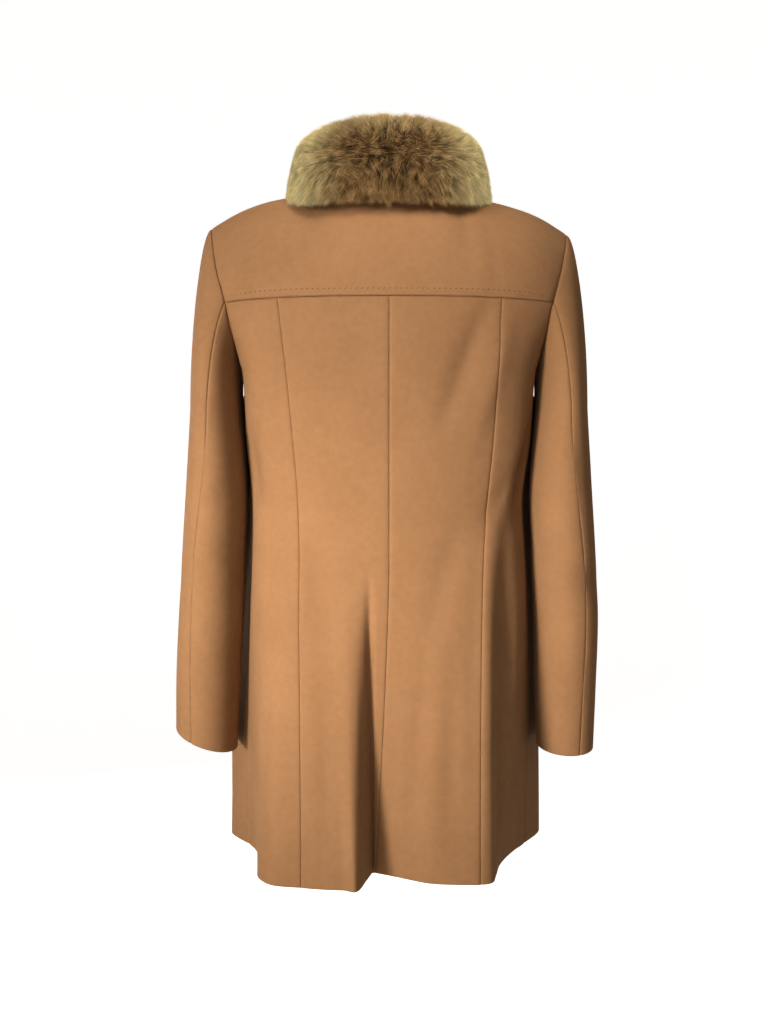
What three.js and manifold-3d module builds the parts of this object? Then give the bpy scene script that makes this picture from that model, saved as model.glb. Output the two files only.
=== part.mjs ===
// A knee-length cashmere coat with a fur collar, filled out as if worn, with no wearer.
// Millimetres, +Z up. The front faces -Y and the wearer's left is +X. The origin is the middle of the
// neck opening, level with the shoulder line.
import * as THREE from 'three';
import { mergeVertices } from 'three/addons/utils/BufferGeometryUtils.js';
import Module from 'manifold-3d';

// Cloth and seams
const wall = 2.4;
const seamGap = 0.3;
const yokeStep = 1.4;

// Heights of the hem, the armpits and the yoke seam
const hemZ = -809;
const armpitZ = -215;
const yokeZ = -140;

// How far a level section turns from its middle to the side seam, and to the armhole at the yoke
const sideTurn = Math.PI / 2;
const yokeTurn = 1.08;
// How fast the hem folds grow from where they start
const foldGrowth = 1.35;

// Places round the body: the side seams, the back seams, the centre back and the centre front
const place = { sideLeft: 0, seamLeft: 1, back: 2, seamRight: 3, sideRight: 4, front: 5, round: 6 };
// Heights along a column: hem, armpit, yoke seam, and the neck and shoulder edge
const rise = { hem: 0, armpit: 1, yoke: 2, top: 3 };
// How far each front reaches past the centre front, as a share of its width
const frontLap = 0.11;
const lapFade = 0.2;
const lapClear = 1.2;

// Mesh steps
const steps = {
  skirt: 14, chest: 6, shoulder: 6, side: 8, centre: 7, front: 12, cap: 5, arm: 11, upper: 15, under: 9,
};

// Level sections of the body: half widths, depths at the middle, where the back seams cross, and how square
// the section is, where 2 is an ellipse
const levels = [
  { z: -809, left: 181, right: 180, back: 132, front: 170, seamLeft: 102, seamRight: 102, square: 2.3 },
  { z: -700, left: 179, right: 179, back: 128, front: 160, seamLeft: 104, seamRight: 103, square: 2.3 },
  { z: -600, left: 177, right: 178, back: 122, front: 148, seamLeft: 105, seamRight: 105, square: 2.3 },
  { z: -500, left: 173, right: 174, back: 112, front: 132, seamLeft: 106, seamRight: 108, square: 2.3 },
  { z: -430, left: 170, right: 169, back: 103, front: 118, seamLeft: 106, seamRight: 112, square: 2.3 },
  { z: -375, left: 170, right: 166, back: 99, front: 116, seamLeft: 108, seamRight: 117, square: 2.35 },
  { z: -300, left: 177, right: 176, back: 102, front: 118, seamLeft: 114, seamRight: 124, square: 2.5 },
  { z: armpitZ, left: 181, right: 181, back: 109, front: 122, seamLeft: 122, seamRight: 128, square: 2.8 },
  { z: yokeZ, left: 196, right: 196, back: 106, front: 108, seamLeft: 131, seamRight: 132, square: 2.3 },
];

// How far the fronts swing out beside the arms, by height, and where: their middles, and the half widths of
// the swing towards the side seam and towards the centre front
const swings = [
  { z: -809, left: 70, right: 46 },
  { z: -700, left: 66, right: 44 },
  { z: -600, left: 46, right: 42 },
  { z: -500, left: 44, right: 44 },
  { z: -430, left: 42, right: 44 },
  { z: -375, left: 38, right: 40 },
  { z: -300, left: 27, right: 28 },
  { z: armpitZ, left: 0, right: 0 },
];
const swing = { middleRight: 4.36, middleLeft: 5.64, toSeam: 0.17, toFront: 0.3 };

// The hem's plan, a row for each turn of its folds, with the height where that fold starts
const hem = [
  { at: 0, x: 176, y: -12, top: -360 },
  { at: 0.14, x: 165, y: 12, top: -360 },
  { at: 0.45, x: 155, y: 72, top: -380 },
  { at: 0.75, x: 146, y: 124, top: -400 },
  { at: 0.84, x: 134, y: 139, top: -400 },
  { at: 1, x: 99, y: 149, top: -400 },
  { at: 1.35, x: 55, y: 158, top: -440 },
  { at: 1.58, x: 36, y: 154, top: -455 },
  { at: 1.7, x: 29, y: 125, top: -455 },
  { at: 1.82, x: 21, y: 103, top: -455 },
  { at: 2, x: 17, y: 98, top: -455 },
  { at: 2.16, x: -1, y: 108, top: -440 },
  { at: 2.37, x: -24, y: 123, top: -430 },
  { at: 2.57, x: -46, y: 135, top: -420 },
  { at: 2.88, x: -90, y: 140, top: -400 },
  { at: 3, x: -103, y: 139, top: -380 },
  { at: 3.08, x: -115, y: 134, top: -350 },
  { at: 3.23, x: -124, y: 109, top: -320 },
  { at: 3.45, x: -131, y: 72, top: -320 },
  { at: 3.81, x: -156, y: 12, top: -340 },
  { at: 4, x: -172, y: -17, top: -360 },
  { at: 4.23, x: -199, y: -82, top: -400 },
  { at: 4.5, x: -152, y: -146, top: -400 },
  { at: 4.71, x: -90, y: -160, top: -400 },
  { at: 5, x: 0, y: -180, top: -420 },
  { at: 5.29, x: 90, y: -162, top: -400 },
  { at: 5.5, x: 152, y: -146, top: -400 },
  { at: 5.83, x: 205, y: -62, top: -400 },
];

// Troughs pressed into the cloth: from an upper to a lower end, with half width and depth
const troughs = [
  { atTop: 3.62, zTop: -250, atLow: 3.5, zLow: -420, wide: 0.13, deep: 12 },
  { atTop: 0.42, zTop: -270, atLow: 0.5, zLow: -400, wide: 0.15, deep: 6 },
];

// The left armhole, from the armpit up the back to the shoulder tip and down the front
const armholePoints = [
  { x: 181, y: 0, z: armpitZ },
  { x: 187, y: 45, z: -186 },
  { x: 196, y: 62, z: yokeZ },
  { x: 210, y: 43, z: -92 },
  { x: 221, y: 0, z: -36 },
  { x: 206, y: -42, z: -90 },
  { x: 188, y: -60, z: yokeZ },
  { x: 183, y: -42, z: -188 },
];
const tipIndex = 4;
const armholeCentres = { left: { x: 196, y: 0, z: -132 }, right: { x: -196, y: 0, z: -134 } };
// How much lower the right shoulder tip is
const rightTipDrop = 7;

// The upper edge along the shoulders and round the neck, with the way the cloth leaves it downwards
const topEdgeBack = [
  { at: 0, x: 221, y: 0, z: -36, outX: 0, outY: 40, outZ: -8 },
  { at: 0.35, x: 186, y: 1, z: -16, outX: 0, outY: 40, outZ: -8 },
  { at: 0.7, x: 150, y: 2, z: -3, outX: 0, outY: 40, outZ: -8 },
  { at: 1, x: 114, y: 2, z: 4, outX: 0, outY: 40, outZ: -8 },
  { at: 1.3, x: 80, y: 0, z: 10, outX: 8, outY: 36, outZ: -10, corner: true },
  { at: 1.55, x: 62, y: 40, z: 0, outX: 8, outY: 22, outZ: -24 },
  { at: 1.8, x: 31, y: 64, z: -8, outX: 4, outY: 15, outZ: -34 },
  { at: 2, x: 0, y: 70, z: -10, outX: 0, outY: 13, outZ: -36 },
  { at: 2.2, x: -31, y: 64, z: -9, outX: -4, outY: 15, outZ: -34 },
  { at: 2.45, x: -62, y: 40, z: -2, outX: -8, outY: 22, outZ: -24 },
  { at: 2.7, x: -80, y: 0, z: 7, outX: -8, outY: 36, outZ: -10, corner: true },
  { at: 3, x: -114, y: 2, z: 0, outX: 0, outY: 40, outZ: -8 },
  { at: 3.3, x: -150, y: 2, z: -9, outX: 0, outY: 40, outZ: -8 },
  { at: 3.65, x: -186, y: 1, z: -22, outX: 0, outY: 40, outZ: -8 },
  { at: 4, x: -221, y: 0, z: -43, outX: 0, outY: 40, outZ: -8 },
];
const topEdgeFront = [
  { at: 4, x: -221, y: 0, z: -43, outX: 0, outY: -34, outZ: -14 },
  { at: 4.18, x: -186, y: 1, z: -22, outX: 0, outY: -34, outZ: -14 },
  { at: 4.33, x: -150, y: 2, z: -9, outX: 0, outY: -34, outZ: -14 },
  { at: 4.45, x: -114, y: 2, z: 0, outX: 0, outY: -34, outZ: -14 },
  { at: 4.57, x: -80, y: 0, z: 7, outX: -8, outY: -30, outZ: -16, corner: true },
  { at: 4.69, x: -70, y: -38, z: -16, outX: -12, outY: -22, outZ: -22 },
  { at: 4.83, x: -42, y: -66, z: -52, outX: -6, outY: -16, outZ: -22 },
  { at: 5, x: 0, y: -78, z: -72, outX: 0, outY: -14, outZ: -20 },
  { at: 5.17, x: 42, y: -66, z: -52, outX: 6, outY: -16, outZ: -22 },
  { at: 5.31, x: 70, y: -38, z: -14, outX: 12, outY: -22, outZ: -22 },
  { at: 5.43, x: 80, y: 0, z: 10, outX: 8, outY: -30, outZ: -16, corner: true },
  { at: 5.55, x: 114, y: 2, z: 4, outX: 0, outY: -34, outZ: -14 },
  { at: 5.67, x: 150, y: 2, z: -3, outX: 0, outY: -34, outZ: -14 },
  { at: 5.82, x: 186, y: 1, z: -16, outX: 0, outY: -34, outZ: -14 },
  { at: 6, x: 221, y: 0, z: -36, outX: 0, outY: -34, outZ: -14 },
];
const neckAt = { back: [1.3, 2.7], front: [4.57, 5.43] };
const regionMiddle = { back: 2, front: 5 };

// Rings of the sleeves below their caps, by drop from the origin: centre, half width, half depth, the slope
// that lowers the back rim, and the left sleeve's slant that lowers its inner rim. The last three columns
// are how much further in the right sleeve hangs, and how much slimmer and longer it is.
const sleeveRings = [
  { drop: 262, x: 217, y: 0, wide: 30, deep: 74, tilt: 0, slant: 0, inset: 0, slim: 0, low: 0 },
  { drop: 310, x: 215, y: 2, wide: 34, deep: 71, tilt: 0, slant: 0, inset: 0, slim: 0, low: 0 },
  { drop: 375, x: 214, y: 5, wide: 38, deep: 66, tilt: 0.03, slant: 0.02, inset: 0, slim: 0, low: 0 },
  { drop: 440, x: 217, y: 4, wide: 39, deep: 62, tilt: 0.05, slant: 0.08, inset: 0, slim: 0, low: 0 },
  { drop: 510, x: 221, y: 0, wide: 39.5, deep: 58, tilt: 0.06, slant: 0.18, inset: 0.5, slim: 0, low: 2 },
  { drop: 600, x: 226, y: -6, wide: 39.5, deep: 54, tilt: 0.05, slant: 0.32, inset: 5, slim: 2, low: 6 },
  { drop: 672, x: 229, y: -12, wide: 38, deep: 50, tilt: 0.04, slant: 0.44, inset: 7.5, slim: 3, low: 10 },
];
const capDrop = 262;
const cuffDrop = 672;
// How the sleeve cap leaves the armhole, by place round it
const capSpread = [
  { at: 0, out: 3, back: 0, down: 12, end: 14 },
  { at: 0.125, out: 8, back: 5, down: 22, end: 24 },
  { at: 0.25, out: 12, back: 7, down: 34, end: 40 },
  { at: 0.375, out: 18, back: 10, down: 24, end: 60 },
  { at: 0.5, out: 15, back: 0, down: 5, end: 66 },
  { at: 0.625, out: 18, back: -10, down: 24, end: 60 },
  { at: 0.75, out: 12, back: -7, down: 34, end: 40 },
  { at: 0.875, out: 8, back: -5, down: 22, end: 24 },
];
// The arm seams by share of the sleeve's length: places round it from the armpit, by the back
const armSeams = [
  { along: 0, back: 0.25, front: 0.875 },
  { along: 0.35, back: 0.26, front: 0.88 },
  { along: 0.6, back: 0.32, front: 0.88 },
  { along: 1, back: 0.305, front: 0.875 },
];
const capShare = 0.32;
const sleeveClear = 0.4;

// The fur collar: its plan inside, where its ends stop and round off, and its clearance over the cloth
const collar = {
  innerX: 80, innerBack: 70, innerFront: 78, square: 2.3, endTurn: 176, roundTurn: 18, endSize: 0.2,
  rings: 54, sides: 16, clear: 0.6, seatDepth: 25,
};
// Its upright section from the inner edge: distance out and height, as shares
const collarProfile = [
  { out: 0.03, up: 0 },
  { out: 0, up: 0.3 },
  { out: 0, up: 0.6 },
  { out: 0.06, up: 0.86 },
  { out: 0.22, up: 0.97 },
  { out: 0.42, up: 1 },
  { out: 0.6, up: 0.94 },
  { out: 0.75, up: 0.82 },
  { out: 0.86, up: 0.6 },
  { out: 0.96, up: 0.3 },
  { out: 1, up: 0.07 },
  { out: 0.94, up: -0.01 },
  { out: 0.65, up: 0 },
  { out: 0.35, up: 0 },
];
// The collar by turn from the centre back: its seat on the neck, its outer underside, its top and thickness
const collarTurns = [
  { turn: 0, seat: -8, low: -40, top: 79, thick: 48 },
  { turn: 50, seat: -2, low: -32, top: 79, thick: 50 },
  { turn: 90, seat: 11, low: -6, top: 77, thick: 50 },
  { turn: 125, seat: -12, low: -44, top: 68, thick: 50 },
  { turn: 180, seat: -66, low: -118, top: 40, thick: 46 },
];

// Buttons on the hidden front
const button = { radius: 14, thick: 4, rim: 2.5, dish: 1.2, clear: 0.62, sides: 20 };
const buttonHeights = [-146, -262, -378, -494];

const finishes = {
  cloth: { color: 0xb8875c, roughness: 0.9 },
  fur: { color: 0x96805a, roughness: 1 },
  button: { color: 0x6b4426, roughness: 0.4 },
};

const mix = (a, b, t) => a + (b - a) * t;
const clamp01 = (t) => Math.min(1, Math.max(0, t));
const smooth = (t) => clamp01(t) ** 2 * (3 - 2 * clamp01(t));

// One column of a table, read smoothly at a place along its key column
function read(table, key, column, placeAt, period = 0) {
  const count = table.length;
  const last = count - 1;
  const row = (i) => (period ? table[((i % count) + count) % count] : table[Math.min(last, Math.max(0, i))]);
  const keyAt = (i) => row(i)[key] + (period ? period * Math.floor(i / count) : 0);
  let i = 0;
  while (i < (period ? last : last - 1) && keyAt(i + 1) <= placeAt) i += 1;
  const slope = (j, forward) => {
    const before = period ? j - 1 : Math.max(0, j - 1);
    const after = period ? j + 1 : Math.min(last, j + 1);
    const ahead = keyAt(after) - keyAt(j);
    const behind = keyAt(j) - keyAt(before);
    const slopeAhead = ahead ? (row(after)[column] - row(j)[column]) / ahead : 0;
    const slopeBehind = behind ? (row(j)[column] - row(before)[column]) / behind : 0;
    if (!ahead || (row(j).corner && !forward)) return slopeBehind;
    if (!behind || row(j).corner) return slopeAhead;
    return (slopeBehind * ahead + slopeAhead * behind) / (ahead + behind);
  };
  const span = keyAt(i + 1) - keyAt(i);
  const t = (placeAt - keyAt(i)) / span;
  const t2 = t * t;
  const t3 = t2 * t;
  return (2 * t3 - 3 * t2 + 1) * row(i)[column] + (t3 - 2 * t2 + t) * span * slope(i, true)
    + (3 * t2 - 2 * t3) * row(i + 1)[column] + (t3 - t2) * span * slope(i + 1, false);
}

// The two armholes as closed curves
function armholeCurve(side) {
  const points = armholePoints.map((point, index) => {
    const drop = side < 0 && index === tipIndex ? rightTipDrop : 0;
    return new THREE.Vector3(side * point.x, point.y, point.z - drop);
  });
  return new THREE.CatmullRomCurve3(points, true, 'centripetal');
}
const armhole = { left: armholeCurve(1), right: armholeCurve(-1) };

const regionEdges = {
  back: [[place.sideLeft, armhole.left], [place.sideRight, armhole.right]],
  front: [[place.sideRight, armhole.right], [place.round, armhole.left]],
};
// Each rise from the armpit to the yoke and from there to the shoulder takes a quarter of an armhole
const armholeQuarter = 4;
// How a column leaves the yoke level: its step for direction, and its reach
const columnStep = 0.1;
const columnReach = 0.55;
// How soon a trough reaches its depth from either end, and the yoke its lift from the armholes
const troughRise = 2.2;
const liftRise = 3;
// The step to the neighbours that give a direction
const nearStep = 0.01;

// A rounded square's two coordinates by angle, and the angle for one of them
function roundedSquare(angle, square) {
  const size = (Math.abs(Math.sin(angle)) ** square + Math.abs(Math.cos(angle)) ** square) ** (1 / square);
  return { across: Math.sin(angle) / size, deep: Math.cos(angle) / size };
}
function angleAt(across, square) {
  return Math.atan2(across, (1 - across ** square) ** (1 / square));
}

// The body below the yoke seam, by place round it and height. Above the armpit it ends at the armholes, so
// its back and front are two regions.
function levelPoint(region, at, height) {
  const around = ((at % place.round) + place.round) % place.round;
  const atBack = height <= rise.armpit ? around <= place.sideRight : region === 'back';
  const leftAround = around < place.back || around >= place.front;
  const onLeft = height > rise.armpit && !atBack ? at >= place.front : leftAround;
  const climb = Math.max(0, height - rise.armpit) / armholeQuarter;
  const hole = onLeft ? armhole.left : armhole.right;
  const holePoint = hole.getPoint(atBack ? climb : (1 - climb) % 1);
  const z = height <= rise.armpit ? mix(hemZ, armpitZ, height) : holePoint.z;
  const sideX = read(levels, 'z', onLeft ? 'left' : 'right', z);
  const edgeX = height <= rise.armpit ? sideX : Math.abs(holePoint.x);
  const edgeY = height <= rise.armpit ? 0 : holePoint.y;
  const turn = mix(sideTurn, yokeTurn, smooth(height - rise.armpit));
  const middle = atBack ? read(levels, 'z', 'back', z) : -read(levels, 'z', 'front', z);
  const square = read(levels, 'z', 'square', z);
  const edge = roundedSquare(turn, square);
  let angle;
  if (atBack) {
    const seamX = read(levels, 'z', onLeft ? 'seamLeft' : 'seamRight', z);
    const seam = angleAt(seamX / edgeX * edge.across, square);
    const fromMiddle = Math.abs(around - place.back);
    angle = fromMiddle <= 1 ? seam * fromMiddle : mix(seam, turn, fromMiddle - 1);
  } else {
    angle = turn * Math.abs((around || place.round) - place.front);
  }
  const shape = roundedSquare(angle, square);
  const out = height < rise.armpit ? swingOut(around, z) : 0;
  const x = (onLeft ? 1 : -1) * edgeX * shape.across / edge.across + out;
  const y = edgeY + (middle - edgeY) * (shape.deep - edge.deep) / (1 - edge.deep);
  const point = new THREE.Vector3(x, y, z);
  if (height < rise.armpit) {
    const start = read(hem, 'at', 'top', around, place.round);
    const share = clamp01((start - z) / (start - hemZ)) ** foldGrowth;
    point.x = mix(x, read(hem, 'at', 'x', around, place.round), share);
    point.y = mix(y, read(hem, 'at', 'y', around, place.round), share);
  }
  const outward = new THREE.Vector3(x / edgeX ** 2, y / middle ** 2, 0).normalize();
  return point.addScaledVector(outward, -troughDepth(around, z));
}

// How far a front swings out sideways
function swingOut(around, z) {
  const rightAway = around - swing.middleRight;
  const leftAway = (around < place.seamLeft ? around + place.round : around) - swing.middleLeft;
  const right = Math.exp(-((rightAway / (rightAway < 0 ? swing.toSeam : swing.toFront)) ** 2));
  const left = Math.exp(-((leftAway / (leftAway > 0 ? swing.toSeam : swing.toFront)) ** 2));
  return left * read(swings, 'z', 'left', z) - right * read(swings, 'z', 'right', z);
}

function troughDepth(at, z) {
  let depth = 0;
  for (const trough of troughs) {
    const along = (trough.zTop - z) / (trough.zTop - trough.zLow);
    const away = (at - mix(trough.atTop, trough.atLow, along)) / trough.wide;
    const reach = smooth(troughRise * along) * smooth(troughRise * (1 - along));
    depth += trough.deep * reach * Math.exp(-away * away);
  }
  return depth;
}

function readVector(table, columns, at) {
  return new THREE.Vector3(...columns.map((column) => read(table, 'at', column, at)));
}
function topEdgePoint(region, at) {
  return readVector(region === 'back' ? topEdgeBack : topEdgeFront, ['x', 'y', 'z'], at);
}

// The body above the yoke seam: columns that rise to the shoulder and neck edge
function risingPoint(region, at, height) {
  const low = levelPoint(region, at, rise.yoke);
  const below = levelPoint(region, at, rise.yoke - columnStep);
  const top = topEdgePoint(region, at);
  const leave = readVector(region === 'back' ? topEdgeBack : topEdgeFront, ['outX', 'outY', 'outZ'], at);
  const column = new THREE.CubicBezierCurve3(
    low,
    low.clone().addScaledVector(low.clone().sub(below), columnReach / columnStep),
    top.clone().add(leave),
    top,
  );
  return column.getPoint(height - rise.yoke);
}

// The body's outer face. Its upper columns bend into the armholes at the sides.
function bodyPoint(region, at, height) {
  if (height <= rise.yoke) return levelPoint(region, at, height);
  const point = risingPoint(region, at, height);
  const climb = (height - rise.armpit) / armholeQuarter;
  for (const [edgeAt, hole] of regionEdges[region]) {
    const share = clamp01(1 - Math.abs(at - edgeAt)) ** 2;
    const onHole = hole.getPoint(region === 'back' ? climb : 1 - climb);
    point.addScaledVector(onHole.sub(risingPoint(region, edgeAt, height)), share);
  }
  return point;
}

// The sleeves, by side, place round from the armpit and share of their length
function sleevePoint(side, at, along) {
  const hole = side > 0 ? armhole.left : armhole.right;
  const around = ((at % 1) + 1) % 1;
  const share = clamp01((along - capShare) / (1 - capShare));
  const drop = mix(capDrop, cuffDrop, share);
  const ring = (column) => read(sleeveRings, 'drop', column, drop);
  const angle = Math.PI * (1 - 2 * around);
  const y = ring('deep') * Math.sin(angle);
  const [inset, slimmer] = side > 0 ? [0, 0] : [ring('inset'), ring('slim')];
  const outwards = (ring('wide') - slimmer) * Math.cos(angle);
  const lift = side > 0 ? ring('slant') * outwards : -ring('low');
  const place = [side * (ring('x') - inset + outwards), ring('y') + y, -drop - ring('tilt') * y + lift];
  const onRing = new THREE.Vector3(...place);
  if (along >= capShare) return onRing;
  const spread = (column) => read(capSpread, 'at', column, around, 1);
  const start = hole.getPoint(around).add(new THREE.Vector3(side * sleeveClear, 0, 0));
  const leave = new THREE.Vector3(side * spread('out'), spread('back'), -spread('down'));
  const arrive = new THREE.Vector3(0, 0, spread('end'));
  const second = start.clone().add(leave);
  const third = onRing.clone().add(arrive);
  return new THREE.CubicBezierCurve3(start, second, third, onRing).getPoint(along / capShare);
}

// A surface's outward direction at a place, from points just beside it
function outwardAt(pointAt, u, v, limits, flip = 1) {
  const uLow = Math.max(limits.u[0], u - nearStep);
  const uHigh = Math.min(limits.u[1], u + nearStep);
  const vLow = Math.max(limits.v[0], v - nearStep);
  const vHigh = Math.min(limits.v[1], v + nearStep);
  const acrossStep = pointAt(uHigh, v).sub(pointAt(uLow, v));
  const upStep = pointAt(u, vHigh).sub(pointAt(u, vLow));
  return acrossStep.cross(upStep).normalize().multiplyScalar(flip);
}

// Across an armhole seam, both cloths turn into the armhole
function intoArmhole(side, at) {
  const hole = side > 0 ? armhole.left : armhole.right;
  const centre = side > 0 ? armholeCentres.left : armholeCentres.right;
  const along = hole.getTangent(((at % 1) + 1) % 1);
  const inward = new THREE.Vector3().copy(centre).sub(hole.getPoint(((at % 1) + 1) % 1));
  return inward.addScaledVector(along, -inward.dot(along)).normalize();
}

// The way into the cloth from the body's outer face
function intoBody(region, at, height) {
  const edge = regionEdges[region].find(([edgeAt]) => edgeAt === at);
  if (height >= rise.armpit && edge) {
    const climb = (height - rise.armpit) / armholeQuarter;
    return intoArmhole(edge[1] === armhole.left ? 1 : -1, region === 'back' ? climb : 1 - climb);
  }
  const neckReach = neckAt[region][1] - regionMiddle[region];
  const onShoulder = Math.abs(at - regionMiddle[region]) >= neckReach;
  if (height === rise.top && onShoulder) {
    const along = topEdgePoint(region, at + nearStep).sub(topEdgePoint(region, at - nearStep));
    const down = new THREE.Vector3(along.z, 0, -along.x).normalize();
    return down.z < 0 ? down : down.negate();
  }
  const [first, last] = regionEdges[region].map(([edgeAt]) => edgeAt);
  const u = height < rise.armpit ? [-Infinity, Infinity] : [first, last];
  const pointAt = (across, along) => bodyPoint(region, across, along);
  return outwardAt(pointAt, at, height, { u, v: [rise.hem, rise.top] }).negate();
}

// A closed wall between an outer and an inner grid of points
function wallGeometry(outer, inner, flip) {
  const rows = outer.length;
  const columns = outer[0].length;
  const positions = [...outer.flat(), ...inner.flat()].flatMap((point) => point.toArray());
  const outerAt = (row, column) => row * columns + column;
  const innerAt = (row, column) => rows * columns + row * columns + column;
  const index = [];
  const quad = (a, b, c, d) => index.push(...(flip ? [a, c, b, a, d, c] : [a, b, c, a, c, d]));
  for (let row = 0; row < rows - 1; row += 1) {
    for (let column = 0; column < columns - 1; column += 1) {
      const [next, above] = [column + 1, row + 1];
      quad(outerAt(row, column), outerAt(row, next), outerAt(above, next), outerAt(above, column));
      quad(innerAt(row, column), innerAt(above, column), innerAt(above, next), innerAt(row, next));
    }
    const end = columns - 1;
    quad(outerAt(row, 0), outerAt(row + 1, 0), innerAt(row + 1, 0), innerAt(row, 0));
    quad(outerAt(row, end), innerAt(row, end), innerAt(row + 1, end), outerAt(row + 1, end));
  }
  for (let column = 0; column < columns - 1; column += 1) {
    const end = rows - 1;
    quad(outerAt(0, column), innerAt(0, column), innerAt(0, column + 1), outerAt(0, column + 1));
    quad(outerAt(end, column), outerAt(end, column + 1), innerAt(end, column + 1), innerAt(end, column));
  }
  const geometry = new THREE.BufferGeometry();
  geometry.setAttribute('position', new THREE.Float32BufferAttribute(positions, 3));
  geometry.setIndex(index);
  return geometry;
}

// Moves the edges of a grid back from the seams they share, so that each seam has its gap
function trimSeams(grid, seams) {
  const rows = grid.length;
  const columns = grid[0].length;
  const trimmed = grid.map((row) => row.map((point) => point.clone()));
  const pull = (row, column, towardRow, towardColumn, size) => {
    const way = grid[towardRow][towardColumn].clone().sub(grid[row][column]).normalize();
    trimmed[row][column].addScaledVector(way, size);
  };
  for (let row = 0; row < rows; row += 1) {
    if (seams.first) pull(row, 0, row, 1, seams.first);
    if (seams.last) pull(row, columns - 1, row, columns - 2, seams.last);
  }
  for (let column = 0; column < columns; column += 1) {
    if (seams.low) pull(0, column, 1, column, seams.low);
    if (seams.high) pull(rows - 1, column, rows - 2, column, seams.high);
  }
  return trimmed;
}

const evenly = (from, to, count) => Array.from({ length: count + 1 }, (_, i) => mix(from, to, i / count));
const skirtRows = evenly(rise.hem, rise.armpit, steps.skirt);
const chestRows = evenly(rise.armpit, rise.yoke, steps.chest);
const shoulderRows = evenly(rise.yoke, rise.top, steps.shoulder);
const panelRows = [...skirtRows, ...chestRows.slice(1)];
const frontRows = [...panelRows, ...shoulderRows.slice(1)];

function yokeLift(at, height) {
  const fromYoke = 1 - clamp01(height - rise.yoke);
  const fromSide = smooth(liftRise * Math.min(at - place.sideLeft, place.sideRight - at));
  return yokeStep * fromYoke ** 2 * fromSide;
}
function lapInset(at) {
  return (wall + lapClear) * smooth((place.front + frontLap + lapFade - at) / lapFade);
}

// A body panel's outer and inner grids; lift moves its cloth out from the body's form
function bodyGrids(region, columns, rows, seams, lift, over = 0, under = wall) {
  const base = trimSeams(rows.map((height) => columns.map((at) => bodyPoint(region, at, height))), seams);
  const inward = rows.map((height) => columns.map((at) => intoBody(region, at, height)));
  const moved = (depth) => base.map((line, row) => line.map((point, column) => {
    const raise = lift(columns[column], rows[row]) + depth;
    return point.clone().addScaledVector(inward[row][column], -raise);
  }));
  return [moved(over), moved(-under)];
}
const flat = () => 0;
const half = seamGap / 2;

const group = new THREE.Group();
function addPiece(name, geometry, finish) {
  const material = new THREE.MeshStandardMaterial({ ...finish, metalness: 0 });
  const mesh = new THREE.Mesh(geometry, material);
  mesh.name = name;
  group.add(mesh);
  return mesh;
}
const addCloth = (name, grids, flip = false) => addPiece(name, wallGeometry(...grids, flip), finishes.cloth);

// The back: four panels below the yoke
const backColumns = {
  side_left: evenly(place.sideLeft, place.seamLeft, steps.side),
  centre_left: evenly(place.seamLeft, place.back, steps.centre),
  centre_right: evenly(place.back, place.seamRight, steps.centre),
  side_right: evenly(place.seamRight, place.sideRight, steps.side),
};
const backSeams = { first: half, last: half, high: half };
for (const [name, columns] of Object.entries(backColumns)) {
  addCloth(`back_${name}`, bodyGrids('back', columns, panelRows, backSeams, flat));
}
const yokeColumns = Object.values(backColumns).flatMap((columns, index) => columns.slice(index ? 1 : 0));
const yokeSeams = { first: half, last: half, low: half, high: half * 2 };
addCloth('back_yoke', bodyGrids('back', yokeColumns, shoulderRows, yokeSeams, yokeLift));

// The fronts: the right one laps over the left one
const frontColumns = {
  right: evenly(place.sideRight, place.front + frontLap, steps.front),
  left: evenly(place.front - frontLap, place.round, steps.front),
};
const frontSeams = { right: { first: half, high: half * 2 }, left: { last: half, high: half * 2 } };
const lapUnder = (at) => -lapInset(at);
addCloth('front_right', bodyGrids('front', frontColumns.right, frontRows, frontSeams.right, flat));
addCloth('front_left', bodyGrids('front', frontColumns.left, frontRows, frontSeams.left, lapUnder));

// The sleeves
const sleeveRows = [...evenly(0, capShare, steps.cap), ...evenly(capShare, 1, steps.arm).slice(1)];
function sleeveGrids(side, from, to, columns) {
  const limits = { u: [-Infinity, Infinity], v: [0, 1] };
  const pointAt = (at, along) => sleevePoint(side, at, along);
  const places = sleeveRows.map((along) => evenly(from(along), to(along), columns));
  const base = trimSeams(
    sleeveRows.map((along, row) => places[row].map((at) => pointAt(at, along))),
    { first: half, last: half, low: half },
  );
  const inner = base.map((line, row) => line.map((point, column) => {
    const at = places[row][column];
    const inward = row ? outwardAt(pointAt, at, sleeveRows[row], limits, -side) : intoArmhole(side, at);
    return point.clone().addScaledVector(inward, wall);
  }));
  return [base, inner];
}
for (const [name, side] of [['left', 1], ['right', -1]]) {
  const back = (along) => read(armSeams, 'along', 'back', along);
  const front = (along) => read(armSeams, 'along', 'front', along);
  const frontBefore = (along) => front(along) - 1;
  addCloth(`sleeve_upper_${name}`, sleeveGrids(side, back, front, steps.upper), side < 0);
  addCloth(`sleeve_under_${name}`, sleeveGrids(side, frontBefore, back, steps.under), side < 0);
}

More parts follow.
